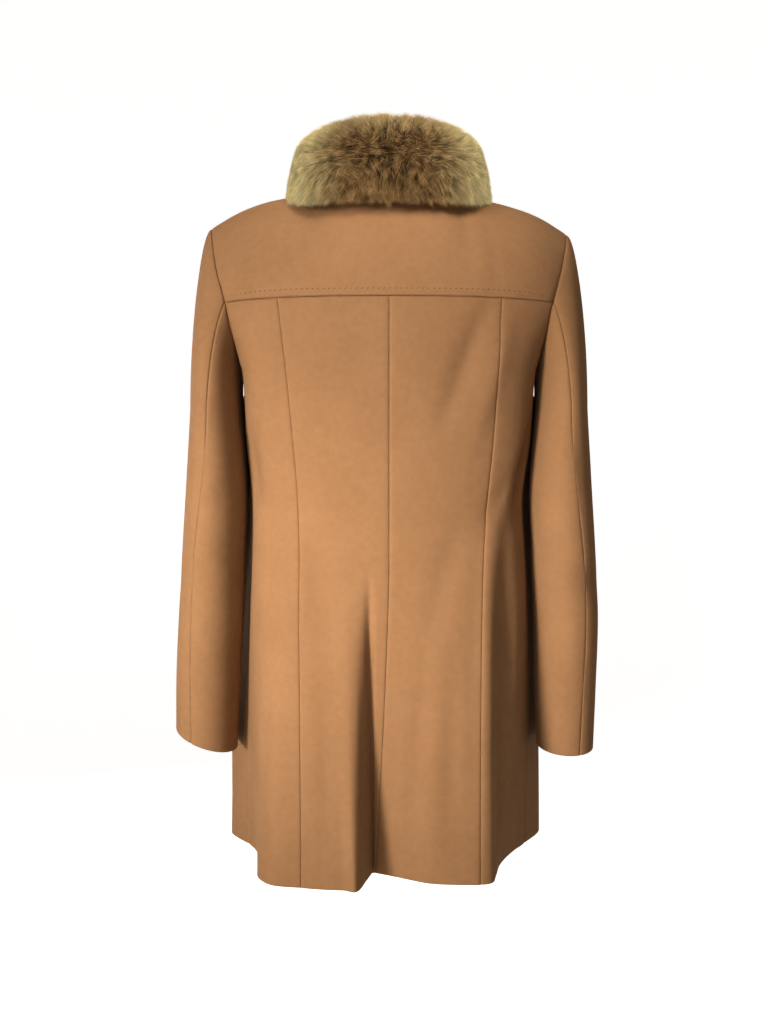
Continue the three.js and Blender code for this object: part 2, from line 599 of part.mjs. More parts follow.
// The fur collar: a ring with rounded ends, cut to sit on the shoulders
function collarGeometry() {
  const section = new THREE.CatmullRomCurve3(
    collarProfile.map((point) => new THREE.Vector3(point.out, point.up, 0)), true, 'centripetal');
  const shares = section.getSpacedPoints(collar.sides).slice(0, collar.sides);
  const rings = evenly(-collar.endTurn, collar.endTurn, collar.rings).map((turn) => {
    const away = Math.abs(turn);
    const angle = THREE.MathUtils.degToRad(turn);
    const plan = roundedSquare(angle, collar.square);
    const innerY = Math.cos(angle) >= 0 ? collar.innerBack : collar.innerFront;
    const out = new THREE.Vector3(plan.across / collar.innerX, plan.deep / innerY, 0).normalize();
    const at = (column) => read(collarTurns, 'turn', column, away);
    const middle = new THREE.Vector3(collar.innerX * plan.across, innerY * plan.deep, 0)
      .addScaledVector(out, at('thick') / 2).add(new THREE.Vector3(0, 0, mix(at('seat'), at('top'), 0.5)));
    const past = clamp01((away - collar.endTurn + collar.roundTurn) / collar.roundTurn);
    const size = Math.max(collar.endSize, Math.sqrt(1 - past * past));
    return shares.map((share) => {
      const point = new THREE.Vector3(collar.innerX * plan.across, innerY * plan.deep, 0)
        .addScaledVector(out, share.x * at('thick'));
      point.z = mix(mix(at('seat'), at('low'), share.x), at('top'), share.y);
      return middle.clone().lerp(point, size);
    });
  });
  const positions = rings.flat().flatMap((point) => point.toArray());
  const index = [];
  const count = collar.sides;
  for (let ring = 0; ring < rings.length - 1; ring += 1) {
    for (let side = 0; side < count; side += 1) {
      const a = ring * count + side;
      const b = ring * count + (side + 1) % count;
      index.push(a, a + count, b + count, a, b + count, b);
    }
  }
  const lastRing = (rings.length - 1) * count;
  for (let side = 1; side < count - 1; side += 1) {
    index.push(0, side, side + 1, lastRing, lastRing + side + 1, lastRing + side);
  }
  const geometry = new THREE.BufferGeometry();
  geometry.setAttribute('position', new THREE.Float32BufferAttribute(positions, 3));
  geometry.setIndex(index);
  return geometry;
}

const wasm = await Module();
wasm.setup();
function solidOf(geometry) {
  const merged = mergeVertices(geometry);
  return new wasm.Manifold(new wasm.Mesh({
    numProp: 3,
    vertProperties: Float32Array.from(merged.attributes.position.array),
    triVerts: Uint32Array.from(merged.index.array),
  }));
}
function geometryOf(solid) {
  const mesh = solid.getMesh();
  const geometry = new THREE.BufferGeometry();
  geometry.setAttribute('position', new THREE.Float32BufferAttribute(mesh.vertProperties, 3));
  geometry.setIndex(Array.from(mesh.triVerts));
  return geometry;
}
// The collar's ends reach down the fronts to this row of the chest
const collarRow = 2;
const chestSeatRows = [...chestRows.slice(collarRow), ...shoulderRows.slice(1)];
let collarSolid = solidOf(collarGeometry());
const seats = [
  ['back', yokeColumns, shoulderRows, yokeLift],
  ['front', frontColumns.right, chestSeatRows, flat],
  ['front', frontColumns.left, chestSeatRows, flat],
];
for (const [region, columns, rows, lift] of seats) {
  const grids = bodyGrids(region, columns, rows, {}, lift, collar.clear, collar.seatDepth);
  collarSolid = collarSolid.subtract(solidOf(wallGeometry(...grids, false)));
}
addPiece('fur_collar', geometryOf(collarSolid), finishes.fur);

// The buttons on the centre front of the right front
function buttonGeometry() {
  const { radius, thick, rim, dish, sides } = button;
  const profile = [[0, 0], [radius, 0], [radius, thick], [radius - rim, thick],
    [radius - rim - dish, thick - dish], [0, thick - dish]];
  return new THREE.LatheGeometry(profile.map(([x, y]) => new THREE.Vector2(x, y)), sides);
}
function heightOf(z) {
  return z <= armpitZ ? (z - hemZ) / (armpitZ - hemZ) : rise.yoke;
}
buttonHeights.forEach((z, index) => {
  const height = heightOf(z);
  const outward = intoBody('front', place.front, height).negate();
  const mesh = addPiece(`button_${index + 1}`, buttonGeometry(), finishes.button);
  mesh.position.copy(bodyPoint('front', place.front, height)).addScaledVector(outward, button.clear);
  mesh.quaternion.setFromUnitVectors(new THREE.Vector3(0, 1, 0), outward);
});

export default group;
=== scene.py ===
# A camel cashmere coat with a fur collar, filled out as worn. The front faces -Y, the wearer's left is +X.
# Shapes are worked out in millimetres and written to the meshes in metres.
import math

import bpy
import numpy as np
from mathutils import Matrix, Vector


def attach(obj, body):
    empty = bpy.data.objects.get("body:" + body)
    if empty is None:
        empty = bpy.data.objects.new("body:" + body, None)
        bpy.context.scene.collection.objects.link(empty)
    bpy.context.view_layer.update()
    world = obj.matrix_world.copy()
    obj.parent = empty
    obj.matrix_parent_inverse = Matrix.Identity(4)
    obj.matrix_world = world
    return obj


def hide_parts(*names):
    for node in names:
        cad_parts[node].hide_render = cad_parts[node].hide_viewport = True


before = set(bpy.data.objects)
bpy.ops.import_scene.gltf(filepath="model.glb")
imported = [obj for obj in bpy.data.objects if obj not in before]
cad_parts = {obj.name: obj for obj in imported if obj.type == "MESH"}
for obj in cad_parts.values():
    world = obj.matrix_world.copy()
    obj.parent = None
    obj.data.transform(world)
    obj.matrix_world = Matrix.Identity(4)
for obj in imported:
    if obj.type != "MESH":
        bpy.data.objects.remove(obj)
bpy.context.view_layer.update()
print("frame loaded")


# Camera: behind the coat, as in the photo
cameraValues = {"place": (0.006, 1.366, -0.390), "lens": 38.4, "sensor": 36}
cameraData = bpy.data.cameras.new("camera")
cameraData.lens = cameraValues["lens"]
cameraData.sensor_width = cameraValues["sensor"]
camera = bpy.data.objects.new("camera", cameraData)
camera.location = cameraValues["place"]
camera.rotation_euler = (math.radians(90), 0, math.radians(180))
bpy.context.collection.objects.link(camera)
bpy.context.scene.camera = camera


# Tables: named columns, a row for each section, fold or seam point
def table(names, rows):
    return {name: np.array(values, float) for name, values in zip(names.split(), zip(*rows))}


def readColumn(rows, key, name, at, period=0.0):
    keys = rows[key]
    values = rows[name]
    corners = rows.get("corner", np.zeros(len(keys)))
    if period:
        keys = np.concatenate([keys - period, keys, keys + period])
        values = np.tile(values, 3)
        corners = np.tile(corners, 3)
    spans = np.diff(keys)
    slopes = np.diff(values) / spans
    inner = (slopes[:-1] * spans[1:] + slopes[1:] * spans[:-1]) / (spans[:-1] + spans[1:])
    ahead = np.concatenate([slopes[:1], inner, slopes[-1:]])
    behind = ahead.copy()
    for i in np.nonzero(corners[1:-1])[0] + 1:
        ahead[i] = slopes[i]
        behind[i] = slopes[i - 1]
    i = np.clip(np.searchsorted(keys, at, side="right") - 1, 0, len(keys) - 2)
    t = (at - keys[i]) / spans[i]
    return ((2 * t**3 - 3 * t**2 + 1) * values[i] + (t**3 - 2 * t**2 + t) * spans[i] * ahead[i]
            + (3 * t**2 - 2 * t**3) * values[i + 1] + (t**3 - t**2) * spans[i] * behind[i + 1])


def smooth(t):
    t = np.clip(t, 0, 1)
    return t * t * (3 - 2 * t)


def mix(a, b, t):
    return a + (b - a) * t


def unit(v):
    return v / np.maximum(np.linalg.norm(v, axis=-1, keepdims=True), 1e-9)


bodyValues = {
    "wall": 2.4, "hemZ": -809, "armpitZ": -215, "foldGrowth": 1.35, "yokeTurn": 1.08, "lap": 0.11,
    "lapFade": 0.2, "lapClear": 1.2, "yokeStep": 1.6, "yokeFade": 6, "columnStep": 0.1, "columnReach": 0.55,
}
levels = table("z left right back front seamLeft seamRight square", [
    (-809, 181, 180, 132, 170, 102, 102, 2.3),
    (-700, 179, 179, 128, 160, 104, 103, 2.3),
    (-600, 177, 178, 122, 148, 105, 105, 2.3),
    (-500, 173, 174, 112, 132, 106, 108, 2.3),
    (-430, 170, 169, 103, 118, 106, 112, 2.3),
    (-375, 170, 166, 99, 116, 108, 117, 2.35),
    (-300, 177, 176, 102, 118, 114, 124, 2.5),
    (-215, 181, 181, 109, 122, 122, 128, 2.8),
    (-140, 196, 196, 106, 108, 131, 132, 2.3),
])
# How far the fronts swing out beside the arms
swings = table("z left right", [
    (-809, 70, 46), (-700, 66, 44), (-600, 46, 42), (-500, 44, 44), (-430, 42, 44), (-375, 41, 43),
    (-300, 36, 38), (-255, 32, 33), (-215, 0, 0),
])
swingValues = {"middleRight": 4.36, "middleLeft": 5.64, "toSeam": 0.17, "toFront": 0.3}
hem = table("at x y top", [
    (0, 176, -12, -360), (0.14, 165, 12, -360), (0.45, 155, 72, -380), (0.75, 146, 124, -400),
    (0.84, 134, 139, -400), (1, 99, 149, -400), (1.35, 53, 157, -440), (1.64, 31.5, 151, -455),
    (1.72, 26, 126, -455), (1.8, 20, 104, -455), (2, 16.5, 99, -455), (2.16, -1, 108, -440),
    (2.37, -24, 123, -430), (2.57, -46, 135, -420), (2.88, -90, 140, -400), (3, -103, 139, -380),
    (3.08, -115, 134, -350), (3.23, -124, 109, -320), (3.45, -131, 72, -320), (3.81, -156, 12, -340),
    (4, -172, -17, -360), (4.23, -199, -82, -400), (4.5, -152, -146, -400), (4.71, -90, -160, -400),
    (5, 0, -180, -420), (5.29, 90, -162, -400), (5.5, 152, -146, -400), (5.83, 205, -62, -400),
])
# Where each region of the body meets an armhole, and on which side
armholeEdges = {"back": ((0, 1), (4, -1)), "front": ((4, -1), (6, 1))}
armholeMiddle = (196, 0, -133.0)
armholePoints = np.array([
    (181, 0, -215), (187, 45, -186), (196, 62, -140), (210, 43, -92),
    (221, 0, -36), (206, -42, -90), (188, -60, -140), (183, -42, -188),
], float)
tipIndex = 4
rightTipDrop = 7
topEdges = {
    "back": table("at x y z outX outY outZ corner", [
        (0, 221, 0, -36, 0, 40, -8, 0), (0.35, 186, 1, -16, 0, 40, -8, 0), (0.7, 150, 2, -3, 0, 40, -8, 0),
        (1, 114, 2, 4, 0, 40, -8, 0), (1.3, 80, 0, 10, 8, 36, -10, 1), (1.55, 62, 40, 0, 8, 22, -24, 0),
        (1.8, 31, 64, -8, 4, 15, -34, 0), (2, 0, 70, -10, 0, 13, -36, 0), (2.2, -31, 64, -9, -4, 15, -34, 0),
        (2.45, -62, 40, -2, -8, 22, -24, 0), (2.7, -80, 0, 7, -8, 36, -10, 1), (3, -114, 2, 0, 0, 40, -8, 0),
        (3.3, -150, 2, -9, 0, 40, -8, 0), (3.65, -186, 1, -22, 0, 40, -8, 0), (4, -221, 0, -43, 0, 40, -8, 0),
    ]),
    "front": table("at x y z outX outY outZ corner", [
        (4, -221, 0, -43, 0, -34, -14, 0), (4.18, -186, 1, -22, 0, -34, -14, 0),
        (4.33, -150, 2, -9, 0, -34, -14, 0), (4.45, -114, 2, 0, 0, -34, -14, 0),
        (4.57, -80, 0, 7, -8, -30, -16, 1), (4.69, -70, -38, -16, -12, -22, -22, 0),
        (4.83, -42, -66, -52, -6, -16, -22, 0), (5, 0, -78, -72, 0, -14, -20, 0),
        (5.17, 42, -66, -52, 6, -16, -22, 0), (5.31, 70, -38, -14, 12, -22, -22, 0),
        (5.43, 80, 0, 10, 8, -30, -16, 1), (5.55, 114, 2, 4, 0, -34, -14, 0),
        (5.67, 150, 2, -3, 0, -34, -14, 0), (5.82, 186, 1, -16, 0, -34, -14, 0),
        (6, 221, 0, -36, 0, -34, -14, 0),
    ]),
}
# Creases from an upper to a lower end: troughs where deep is above zero, and ridges where it is below
creases = table("atTop zTop atLow zLow wide deep soon", [
    (3.62, -250, 3.5, -420, 0.13, 12, 2.2),
    (0.42, -270, 0.5, -400, 0.15, 6, 2.2),
    (2.97, -110, 2.42, -320, 0.11, 5.8, 2.2),
    (3.19, -140, 2.70, -340, 0.09, -3.2, 2.2),
    (1.25, -180, 1.55, -330, 0.13, 1.6, 2.2),
    (3.30, -330, 2.95, -420, 0.10, 2.2, 2.2),
    (1.10, -400, 1.35, -560, 0.16, 2.2, 2.2),
    (2.70, -380, 2.45, -560, 0.15, 3.0, 2.2),
    # The fold beside the centre back: its lip, and its wall under the lip
    (1.69, -450, 1.62, -880, 0.05, -1.2, 2.0),
    (1.785, -445, 1.80, -890, 0.045, 9, 3.2),
    # Shallow falls in the skirt's back
    (2.42, -470, 2.36, -860, 0.10, 3.2, 1.6),
    (2.20, -560, 2.18, -860, 0.07, -1.5, 1.6),
    (1.26, -500, 1.22, -860, 0.10, 2.8, 1.6),
    (2.70, -520, 2.74, -860, 0.09, 3.0, 1.6),
    (0.78, -540, 0.66, -860, 0.08, 3.2, 1.6),
    # The fold over the right side: its crest, and the fall behind it
    (3.02, -350, 3.07, -860, 0.07, -3.0, 2.5),
    (3.28, -350, 3.26, -860, 0.13, 9.0, 2.5),
    (3.55, -420, 3.42, -820, 0.08, -4.0, 2.0),
    # The fronts
    (4.62, -460, 4.60, -860, 0.08, 5.0, 1.6),
    (5.36, -450, 5.42, -860, 0.08, 5.0, 1.6),
    (4.82, -540, 4.80, -860, 0.05, 3.0, 1.6),
    (4.55, -240, 4.75, -400, 0.10, 3.0, 2.2),
    (5.42, -230, 5.25, -400, 0.10, 3.0, 2.2),
])


def armhole(side, t):
    points = armholePoints * [side, 1, 1]
    if side < 0:
        points[tipIndex, 2] -= rightTipDrop
    count = len(points)
    whole = np.floor(count * t)
    weight = (count * t - whole)[..., None]
    i = whole.astype(int)
    p = [points[(i + k) % count] for k in (-1, 0, 1, 2)]
    d = [np.sum((p[k + 1] - p[k]) ** 2, axis=-1, keepdims=True) ** 0.25 for k in range(3)]
    start = ((p[1] - p[0]) / d[0] - (p[2] - p[0]) / (d[0] + d[1]) + (p[2] - p[1]) / d[1]) * d[1]
    end = ((p[2] - p[1]) / d[1] - (p[3] - p[1]) / (d[1] + d[2]) + (p[3] - p[2]) / d[2]) * d[1]
    return (p[1] + start * weight + (3 * (p[2] - p[1]) - 2 * start - end) * weight**2
            + (2 * (p[1] - p[2]) + start + end) * weight**3)


def roundedSquare(angle, square):
    size = (np.abs(np.sin(angle)) ** square + np.abs(np.cos(angle)) ** square) ** (1 / square)
    return np.sin(angle) / size, np.cos(angle) / size


def levelPoint(region, at, height):
    v = bodyValues
    around = np.mod(at, 6)
    high = height > 1
    atBack = np.where(high, region == "back", around <= 4)
    onLeft = np.where(high & (region == "front"), at >= 5, (around < 2) | (around >= 5))
    climb = np.maximum(0, height - 1) / 4
    hole = armhole(1, np.where(atBack, climb, np.mod(1 - climb, 1)))
    z = np.where(high, hole[..., 2], mix(v["hemZ"], v["armpitZ"], height))
    atLevel = lambda name: readColumn(levels, "z", name, z)
    edgeX = np.where(high, hole[..., 0], np.where(onLeft, atLevel("left"), atLevel("right")))
    edgeY = np.where(high, hole[..., 1], 0)
    turn = mix(math.pi / 2, v["yokeTurn"], smooth(height - 1))
    middle = np.where(atBack, atLevel("back"), -atLevel("front"))
    square = atLevel("square")
    edgeAcross, edgeDeep = roundedSquare(turn, square)
    seamAcross = np.where(onLeft, atLevel("seamLeft"), atLevel("seamRight")) / edgeX * edgeAcross
    seam = np.arctan2(seamAcross, (1 - seamAcross**square) ** (1 / square))
    fromMiddle = np.abs(around - 2)
    backAngle = np.where(fromMiddle <= 1, seam * fromMiddle, mix(seam, turn, fromMiddle - 1))
    frontAngle = turn * np.abs(np.where(around == 0, 6, around) - 5)
    across, deep = roundedSquare(np.where(atBack, backAngle, frontAngle), square)
    x = np.where(onLeft, 1, -1) * edgeX * across / edgeAcross + np.where(high, 0, swingOut(around, z))
    y = edgeY + (middle - edgeY) * (deep - edgeDeep) / (1 - edgeDeep)
    start = readColumn(hem, "at", "top", around, 6)
    share = np.clip((start - z) / (start - v["hemZ"]), 0, 1) ** v["foldGrowth"] * ~high
    outward = unit(np.stack([x / edgeX**2, y / middle**2, 0 * x], -1))
    x = mix(x, readColumn(hem, "at", "x", around, 6), share)
    y = mix(y, readColumn(hem, "at", "y", around, 6), share)
    return np.stack([x, y, z], -1) - outward * creaseDepth(around, z)[..., None]


def creaseDepth(at, z):
    depth = np.zeros_like(z)
    for atTop, zTop, atLow, zLow, wide, deep, soon in zip(*creases.values()):
        along = (zTop - z) / (zTop - zLow)
        away = (at - mix(atTop, atLow, along)) / wide
        depth += deep * smooth(soon * along) * smooth(soon * (1 - along)) * np.exp(-away * away)
    return depth


def swingOut(around, z):
    v = swingValues
    rightAway = around - v["middleRight"]
    leftAway = np.where(around < 1, around + 6, around) - v["middleLeft"]
    right = np.exp(-(rightAway / np.where(rightAway < 0, v["toSeam"], v["toFront"])) ** 2)
    left = np.exp(-(leftAway / np.where(leftAway > 0, v["toSeam"], v["toFront"])) ** 2)
    return left * readColumn(swings, "z", "left", z) - right * readColumn(swings, "z", "right", z)


def topPoint(region, at, names="x y z"):
    return np.stack([readColumn(topEdges[region], "at", name, at) for name in names.split()], -1)


def risingPoint(region, at, height):
    v = bodyValues
    low = levelPoint(region, at, np.full_like(at, 2.0))
    below = levelPoint(region, at, np.full_like(at, 2.0 - v["columnStep"]))
    top = topPoint(region, at)
    second = low + (low - below) * v["columnReach"] / v["columnStep"]
    third = top + topPoint(region, at, "outX outY outZ")
    t = (height - 2)[..., None]
    return low * (1 - t) ** 3 + 3 * second * t * (1 - t) ** 2 + 3 * third * t**2 * (1 - t) + top * t**3


def bodyPoint(region, at, height):
    at, height = np.broadcast_arrays(np.asarray(at, float), np.asarray(height, float))
    low = levelPoint(region, at, np.minimum(height, 2.0))
    upper = np.maximum(height, 2.0)
    point = risingPoint(region, at, upper)
    climb = (upper - 1) / 4
    for edgeAt, side in armholeEdges[region]:
        share = np.clip(1 - np.abs(at - edgeAt), 0, 1) ** 2
        onHole = armhole(side, climb if region == "back" else 1 - climb)
        point = point + (onHole - risingPoint(region, np.full_like(at, edgeAt), upper)) * share[..., None]
    return np.where((height > 2)[..., None], point, low)


def outwardAt(pointAt, u, v, uLow, uHigh, vLow=0.0, vHigh=3.0, step=0.012):
    across = pointAt(np.minimum(u + step, uHigh), v) - pointAt(np.maximum(u - step, uLow), v)
    along = pointAt(u, np.minimum(v + step, vHigh)) - pointAt(u, np.maximum(v - step, vLow))
    return unit(np.cross(across, along))


def intoArmhole(side, t):
    tangent = unit(armhole(side, t + 0.001) - armhole(side, t - 0.001))
    inward = np.array(armholeMiddle) * [side, 1, 1] - armhole(side, t)
    return unit(inward - tangent * np.sum(inward * tangent, -1, keepdims=True))


def intoBody(region, at, height):
    ends = (0.0, 4.0) if region == "back" else (4.0, 6.0)
    low = np.where(height < 1, -1e9, ends[0])
    high = np.where(height < 1, 1e9, ends[1])
    inward = -outwardAt(lambda u, v: bodyPoint(region, u, v), at, height, low, high)
    for edgeAt, side in armholeEdges[region]:
        climb = np.maximum(height - 1, 0) / 4
        onHole = intoArmhole(side, climb if region == "back" else 1 - climb)
        inward = np.where(((at == edgeAt) & (height >= 1))[..., None], onHole, inward)
    return inward


# Rows and columns of a cloth's grid: even steps, and closer ones beside a seam or edge
def gridLines(low, high, step, close):
    count = max(2, round((high - low) / step))
    lines = np.linspace(low, high, count + 1)
    extra = [low + d for d in close] + [high - d for d in close]
    clear = 1.6 * close[-1]
    inside = [x for x in lines[1:-1] if low + clear < x < high - clear]
    return np.array(sorted([low, high, *extra, *inside]))


def lengthsFrom(points, axis):
    steps = np.linalg.norm(np.diff(points, axis=axis), axis=-1)
    zero = np.zeros_like(np.take(steps, [0], axis))
    return np.concatenate([zero, np.cumsum(steps, axis)], axis)


# A grid's edges, each with the line beside it
gridEdges = {
    "first": (np.s_[:, 0], np.s_[:, 1]), "last": (np.s_[:, -1], np.s_[:, -2]),
    "low": (np.s_[0], np.s_[1]), "high": (np.s_[-1], np.s_[-2]),
}


# Draws a grid's edges back by half a seam's gap, and rolls them into the seam
def trimAndRoll(points, inward, seams, gap, rollWidth, rollDepth):
    points = points.copy()
    alongRows = lengthsFrom(points, 1)
    alongColumns = lengthsFrom(points, 0)
    distances = {
        "first": alongRows, "last": alongRows[:, -1:] - alongRows,
        "low": alongColumns, "high": alongColumns[-1:] - alongColumns,
    }
    roll = np.zeros(points.shape[:2])
    for name in seams:
        roll = np.maximum(roll, np.clip(1 - distances[name] / rollWidth, 0, 1) ** 2)
    for name in seams:
        edge, beside = gridEdges[name]
        points[edge] += unit(points[beside] - points[edge]) * gap / 2
    return points + inward * (roll * rollDepth)[..., None], roll


# How far the middle of a wall's edge stands out
rimBulge = 0.1


# A closed wall from an outer grid of points, with rounded edges
def makeWall(name, outer, inward, thick, flip=False):
    rows, columns = outer.shape[:2]
    inner = outer + inward * thick
    middle = outer + inward * thick / 2
    rim = [(0, k) for k in range(columns)] + [(k, columns - 1) for k in range(1, rows)]
    rim += [(rows - 1, k) for k in range(columns - 2, -1, -1)] + [(k, 0) for k in range(rows - 2, 0, -1)]
    rim = np.array(rim)
    neighbour = np.stack([np.clip(rim[:, 0], 1, rows - 2), np.clip(rim[:, 1], 1, columns - 2)], -1)
    away = unit(outer[rim[:, 0], rim[:, 1]] - outer[neighbour[:, 0], neighbour[:, 1]])
    bulge = middle[rim[:, 0], rim[:, 1]] + away * rimBulge
    points = np.concatenate([outer.reshape(-1, 3), inner.reshape(-1, 3), bulge])
    index = np.arange(rows * columns).reshape(rows, columns)
    a, b, c, d = index[:-1, :-1], index[:-1, 1:], index[1:, 1:], index[1:, :-1]
    size = rows * columns
    faces = [np.stack([a, b, c, d], -1).reshape(-1, 4), np.stack([a, d, c, b], -1).reshape(-1, 4) + size]
    loop = index[rim[:, 0], rim[:, 1]]
    following = np.roll(loop, -1)
    bulgeIndex = np.arange(len(rim)) + 2 * size
    bulgeNext = np.roll(bulgeIndex, -1)
    faces.append(np.stack([loop, bulgeIndex, bulgeNext, following], -1))
    faces.append(np.stack([bulgeIndex, loop + size, following + size, bulgeNext], -1))
    faces = np.concatenate(faces)
    if flip:
        faces = faces[:, ::-1]
    return makeMesh(name, points, faces)


def makeMesh(name, points, faces):
    mesh = bpy.data.meshes.new(name)
    sides = faces.shape[1]
    mesh.vertices.add(len(points))
    mesh.vertices.foreach_set("co", (points / 1000).astype(np.float32).ravel())
    mesh.loops.add(faces.size)
    mesh.loops.foreach_set("vertex_index", faces.astype(np.int32).ravel())
    mesh.polygons.add(len(faces))
    mesh.polygons.foreach_set("loop_start", np.arange(0, faces.size, sides, dtype=np.int32))
    mesh.polygons.foreach_set("use_smooth", np.ones(len(faces), bool))
    mesh.update(calc_edges=True)
    piece = bpy.data.objects.new(name, mesh)
    bpy.context.collection.objects.link(piece)
    return piece


def setColours(piece, name, values):
    colours = piece.data.color_attributes.new(name, "FLOAT_COLOR", "POINT")
    colours.data.foreach_set("color", values.astype(np.float32).ravel())


# Materials
def newGroup(name, inputs, outputs):
    group = bpy.data.node_groups.new(name, "ShaderNodeTree")
    for socketName, kind in inputs:
        group.interface.new_socket(name=socketName, in_out="INPUT", socket_type=kind)
    for socketName, kind in outputs:
        group.interface.new_socket(name=socketName, in_out="OUTPUT", socket_type=kind)
    enter = group.nodes.new("NodeGroupInput")
    leave = group.nodes.new("NodeGroupOutput")
    return group, enter, leave


def addNode(tree, kind, links=None, **values):
    node = tree.nodes.new(kind)
    for name, value in values.items():
        setattr(node, name, value)
    for socket, source in (links or {}).items():
        if isinstance(source, bpy.types.NodeSocket):
            tree.links.new(source, node.inputs[socket])
        else:
            node.inputs[socket].default_value = source
    return node


def mapRange(tree, source, low, high, toLow, toHigh):
    links = {"Value": source, "From Min": low, "From Max": high, "To Min": toLow, "To Max": toHigh}
    return addNode(tree, "ShaderNodeMapRange", links).outputs["Result"]


def noise(tree, place, scale, detail):
    links = {"Vector": place, "Scale": scale, "Detail": detail}
    return addNode(tree, "ShaderNodeTexNoise", links).outputs["Fac"]


def addNumbers(tree, first, second):
    return addNode(tree, "ShaderNodeMath", {0: first, 1: second}, operation="ADD").outputs[0]


# Felted nap: fine fibres, soft mottling and broad shading, as a mask and a height
def napGroup():
    group, enter, leave = newGroup("feltedNap", [("Vector", "NodeSocketVector")],
                                   [("Shade", "NodeSocketFloat"), ("Height", "NodeSocketFloat")])
    place = enter.outputs["Vector"]
    fibres = noise(group, place, 1100, 3)
    mottle = noise(group, place, 120, 4)
    broad = noise(group, place, 14, 2)
    total = addNumbers(group, addNumbers(group, mottle, broad), fibres)
    group.links.new(mapRange(group, total, 1.1, 1.9, 0, 1), leave.inputs["Shade"])
    group.links.new(addNumbers(group, fibres, mottle), leave.inputs["Height"])
    return group


def newMaterial(name, roughness, sheen=0.0, sheenTint=(1, 1, 1, 1), sheenRoughness=0.5):
    material = bpy.data.materials.new(name)
    material.use_nodes = True
    shader = material.node_tree.nodes["Principled BSDF"]
    shader.inputs["Roughness"].default_value = roughness
    shader.inputs["Sheen Weight"].default_value = sheen
    shader.inputs["Sheen Tint"].default_value = sheenTint
    shader.inputs["Sheen Roughness"].default_value = sheenRoughness
    shader.inputs["Specular IOR Level"].default_value = 0.2
    return material, material.node_tree, shader


napNodes = napGroup()


# Painted shade: the deep colour takes the place of the nap's where light has already bounced off the cloth,
# which darkens the shade in gaps and folds
def clothMaterial(name, dark, light, deep, bump):
    material, tree, shader = newMaterial(name, 0.95, 0.15, (1, 0.75, 0.5, 1), 0.45)
    place = addNode(tree, "ShaderNodeTexCoord").outputs["Object"]
    nap = addNode(tree, "ShaderNodeGroup", node_tree=napNodes)
    tree.links.new(place, nap.inputs["Vector"])
    colour = addNode(tree, "ShaderNodeMix", data_type="RGBA")
    tree.links.new(nap.outputs["Shade"], colour.inputs[0])
    colour.inputs[6].default_value = (*dark, 1)
    colour.inputs[7].default_value = (*light, 1)
    ray = addNode(tree, "ShaderNodeLightPath")
    # Painted shade: light bounced off the cloth takes the darker deep colour
    bounced = addNode(tree, "ShaderNodeMix", data_type="RGBA")
    tree.links.new(ray.outputs["Is Diffuse Ray"], bounced.inputs[0])
    tree.links.new(colour.outputs[2], bounced.inputs[6])
    bounced.inputs[7].default_value = (*deep, 1)
    tree.links.new(bounced.outputs[2], shader.inputs["Base Color"])
    links = {"Height": nap.outputs["Height"], "Distance": 0.0004, "Strength": bump}
    raised = addNode(tree, "ShaderNodeBump", links)
    tree.links.new(raised.outputs["Normal"], shader.inputs["Normal"])
    return material


# deep is a painted shade: a darker, duller colour given to light bounced off the cloth
clothValues = {
    "dark": (0.45, 0.228, 0.1), "light": (0.54, 0.28, 0.129), "deep": (0.24, 0.15, 0.09), "bump": 0.3,
}
cashmere = clothMaterial("cashmere", **clothValues)


# Fur colours from root to tip: brown at the nape, pale at the sides and the top. Both run dark at the root,
# which paints the shade deep among the hairs
furColours = {
    "brown": ((0.012, 0.005, 0.0015), (0.125, 0.065, 0.018), (0.54, 0.325, 0.13)),
    "pale": ((0.2, 0.15, 0.06), (0.6, 0.49, 0.21), (0.88, 0.78, 0.42)),
}


def furMaterial(name):
    material, tree, shader = newMaterial(name, 0.8, 0.05, (1, 0.9, 0.7, 1), 0.5)
    hair = addNode(tree, "ShaderNodeVertexColor", layer_name="hair")
    parts = addNode(tree, "ShaderNodeSeparateColor", {"Color": hair.outputs["Color"]})
    brown = addNode(tree, "ShaderNodeValToRGB", {"Fac": parts.outputs["Red"]})
    pale = addNode(tree, "ShaderNodeValToRGB", {"Fac": parts.outputs["Red"]})
    # Each ramp runs from a dark root, painted shade among the hairs, to the tip
    for ramp, ends in ((brown, furColours["brown"]), (pale, furColours["pale"])):
        ramp.color_ramp.elements[0].color = (*ends[0], 1)
        ramp.color_ramp.elements[1].color = (*ends[2], 1)
        ramp.color_ramp.elements[1].position = 0.95
        ramp.color_ramp.elements.new(0.5).color = (*ends[1], 1)
    blend = addNode(tree, "ShaderNodeMix", data_type="RGBA")
    tree.links.new(parts.outputs["Blue"], blend.inputs[0])
    tree.links.new(brown.outputs["Color"], blend.inputs[6])
    tree.links.new(pale.outputs["Color"], blend.inputs[7])
    shade = mapRange(tree, parts.outputs["Green"], 0, 1, 0.5, 1.4)
    colour = addNode(tree, "ShaderNodeMix", data_type="RGBA", blend_type="MULTIPLY")
    colour.inputs[0].default_value = 1
    tree.links.new(blend.outputs[2], colour.inputs[6])
    tree.links.new(shade, colour.inputs[7])
    tree.links.new(colour.outputs[2], shader.inputs["Base Color"])
    return material


furFinish = furMaterial("fur")


def plainMaterial(name, colour, roughness):
    material, tree, shader = newMaterial(name, roughness)
    shader.inputs["Base Color"].default_value = (*colour, 1)
    return material


thread = plainMaterial("thread", (0.1, 0.05, 0.018), 0.8)


def finishPiece(piece, material, nodes):
    piece.data.materials.append(material)
    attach(piece, "root")
    if nodes:
        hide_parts(*nodes)


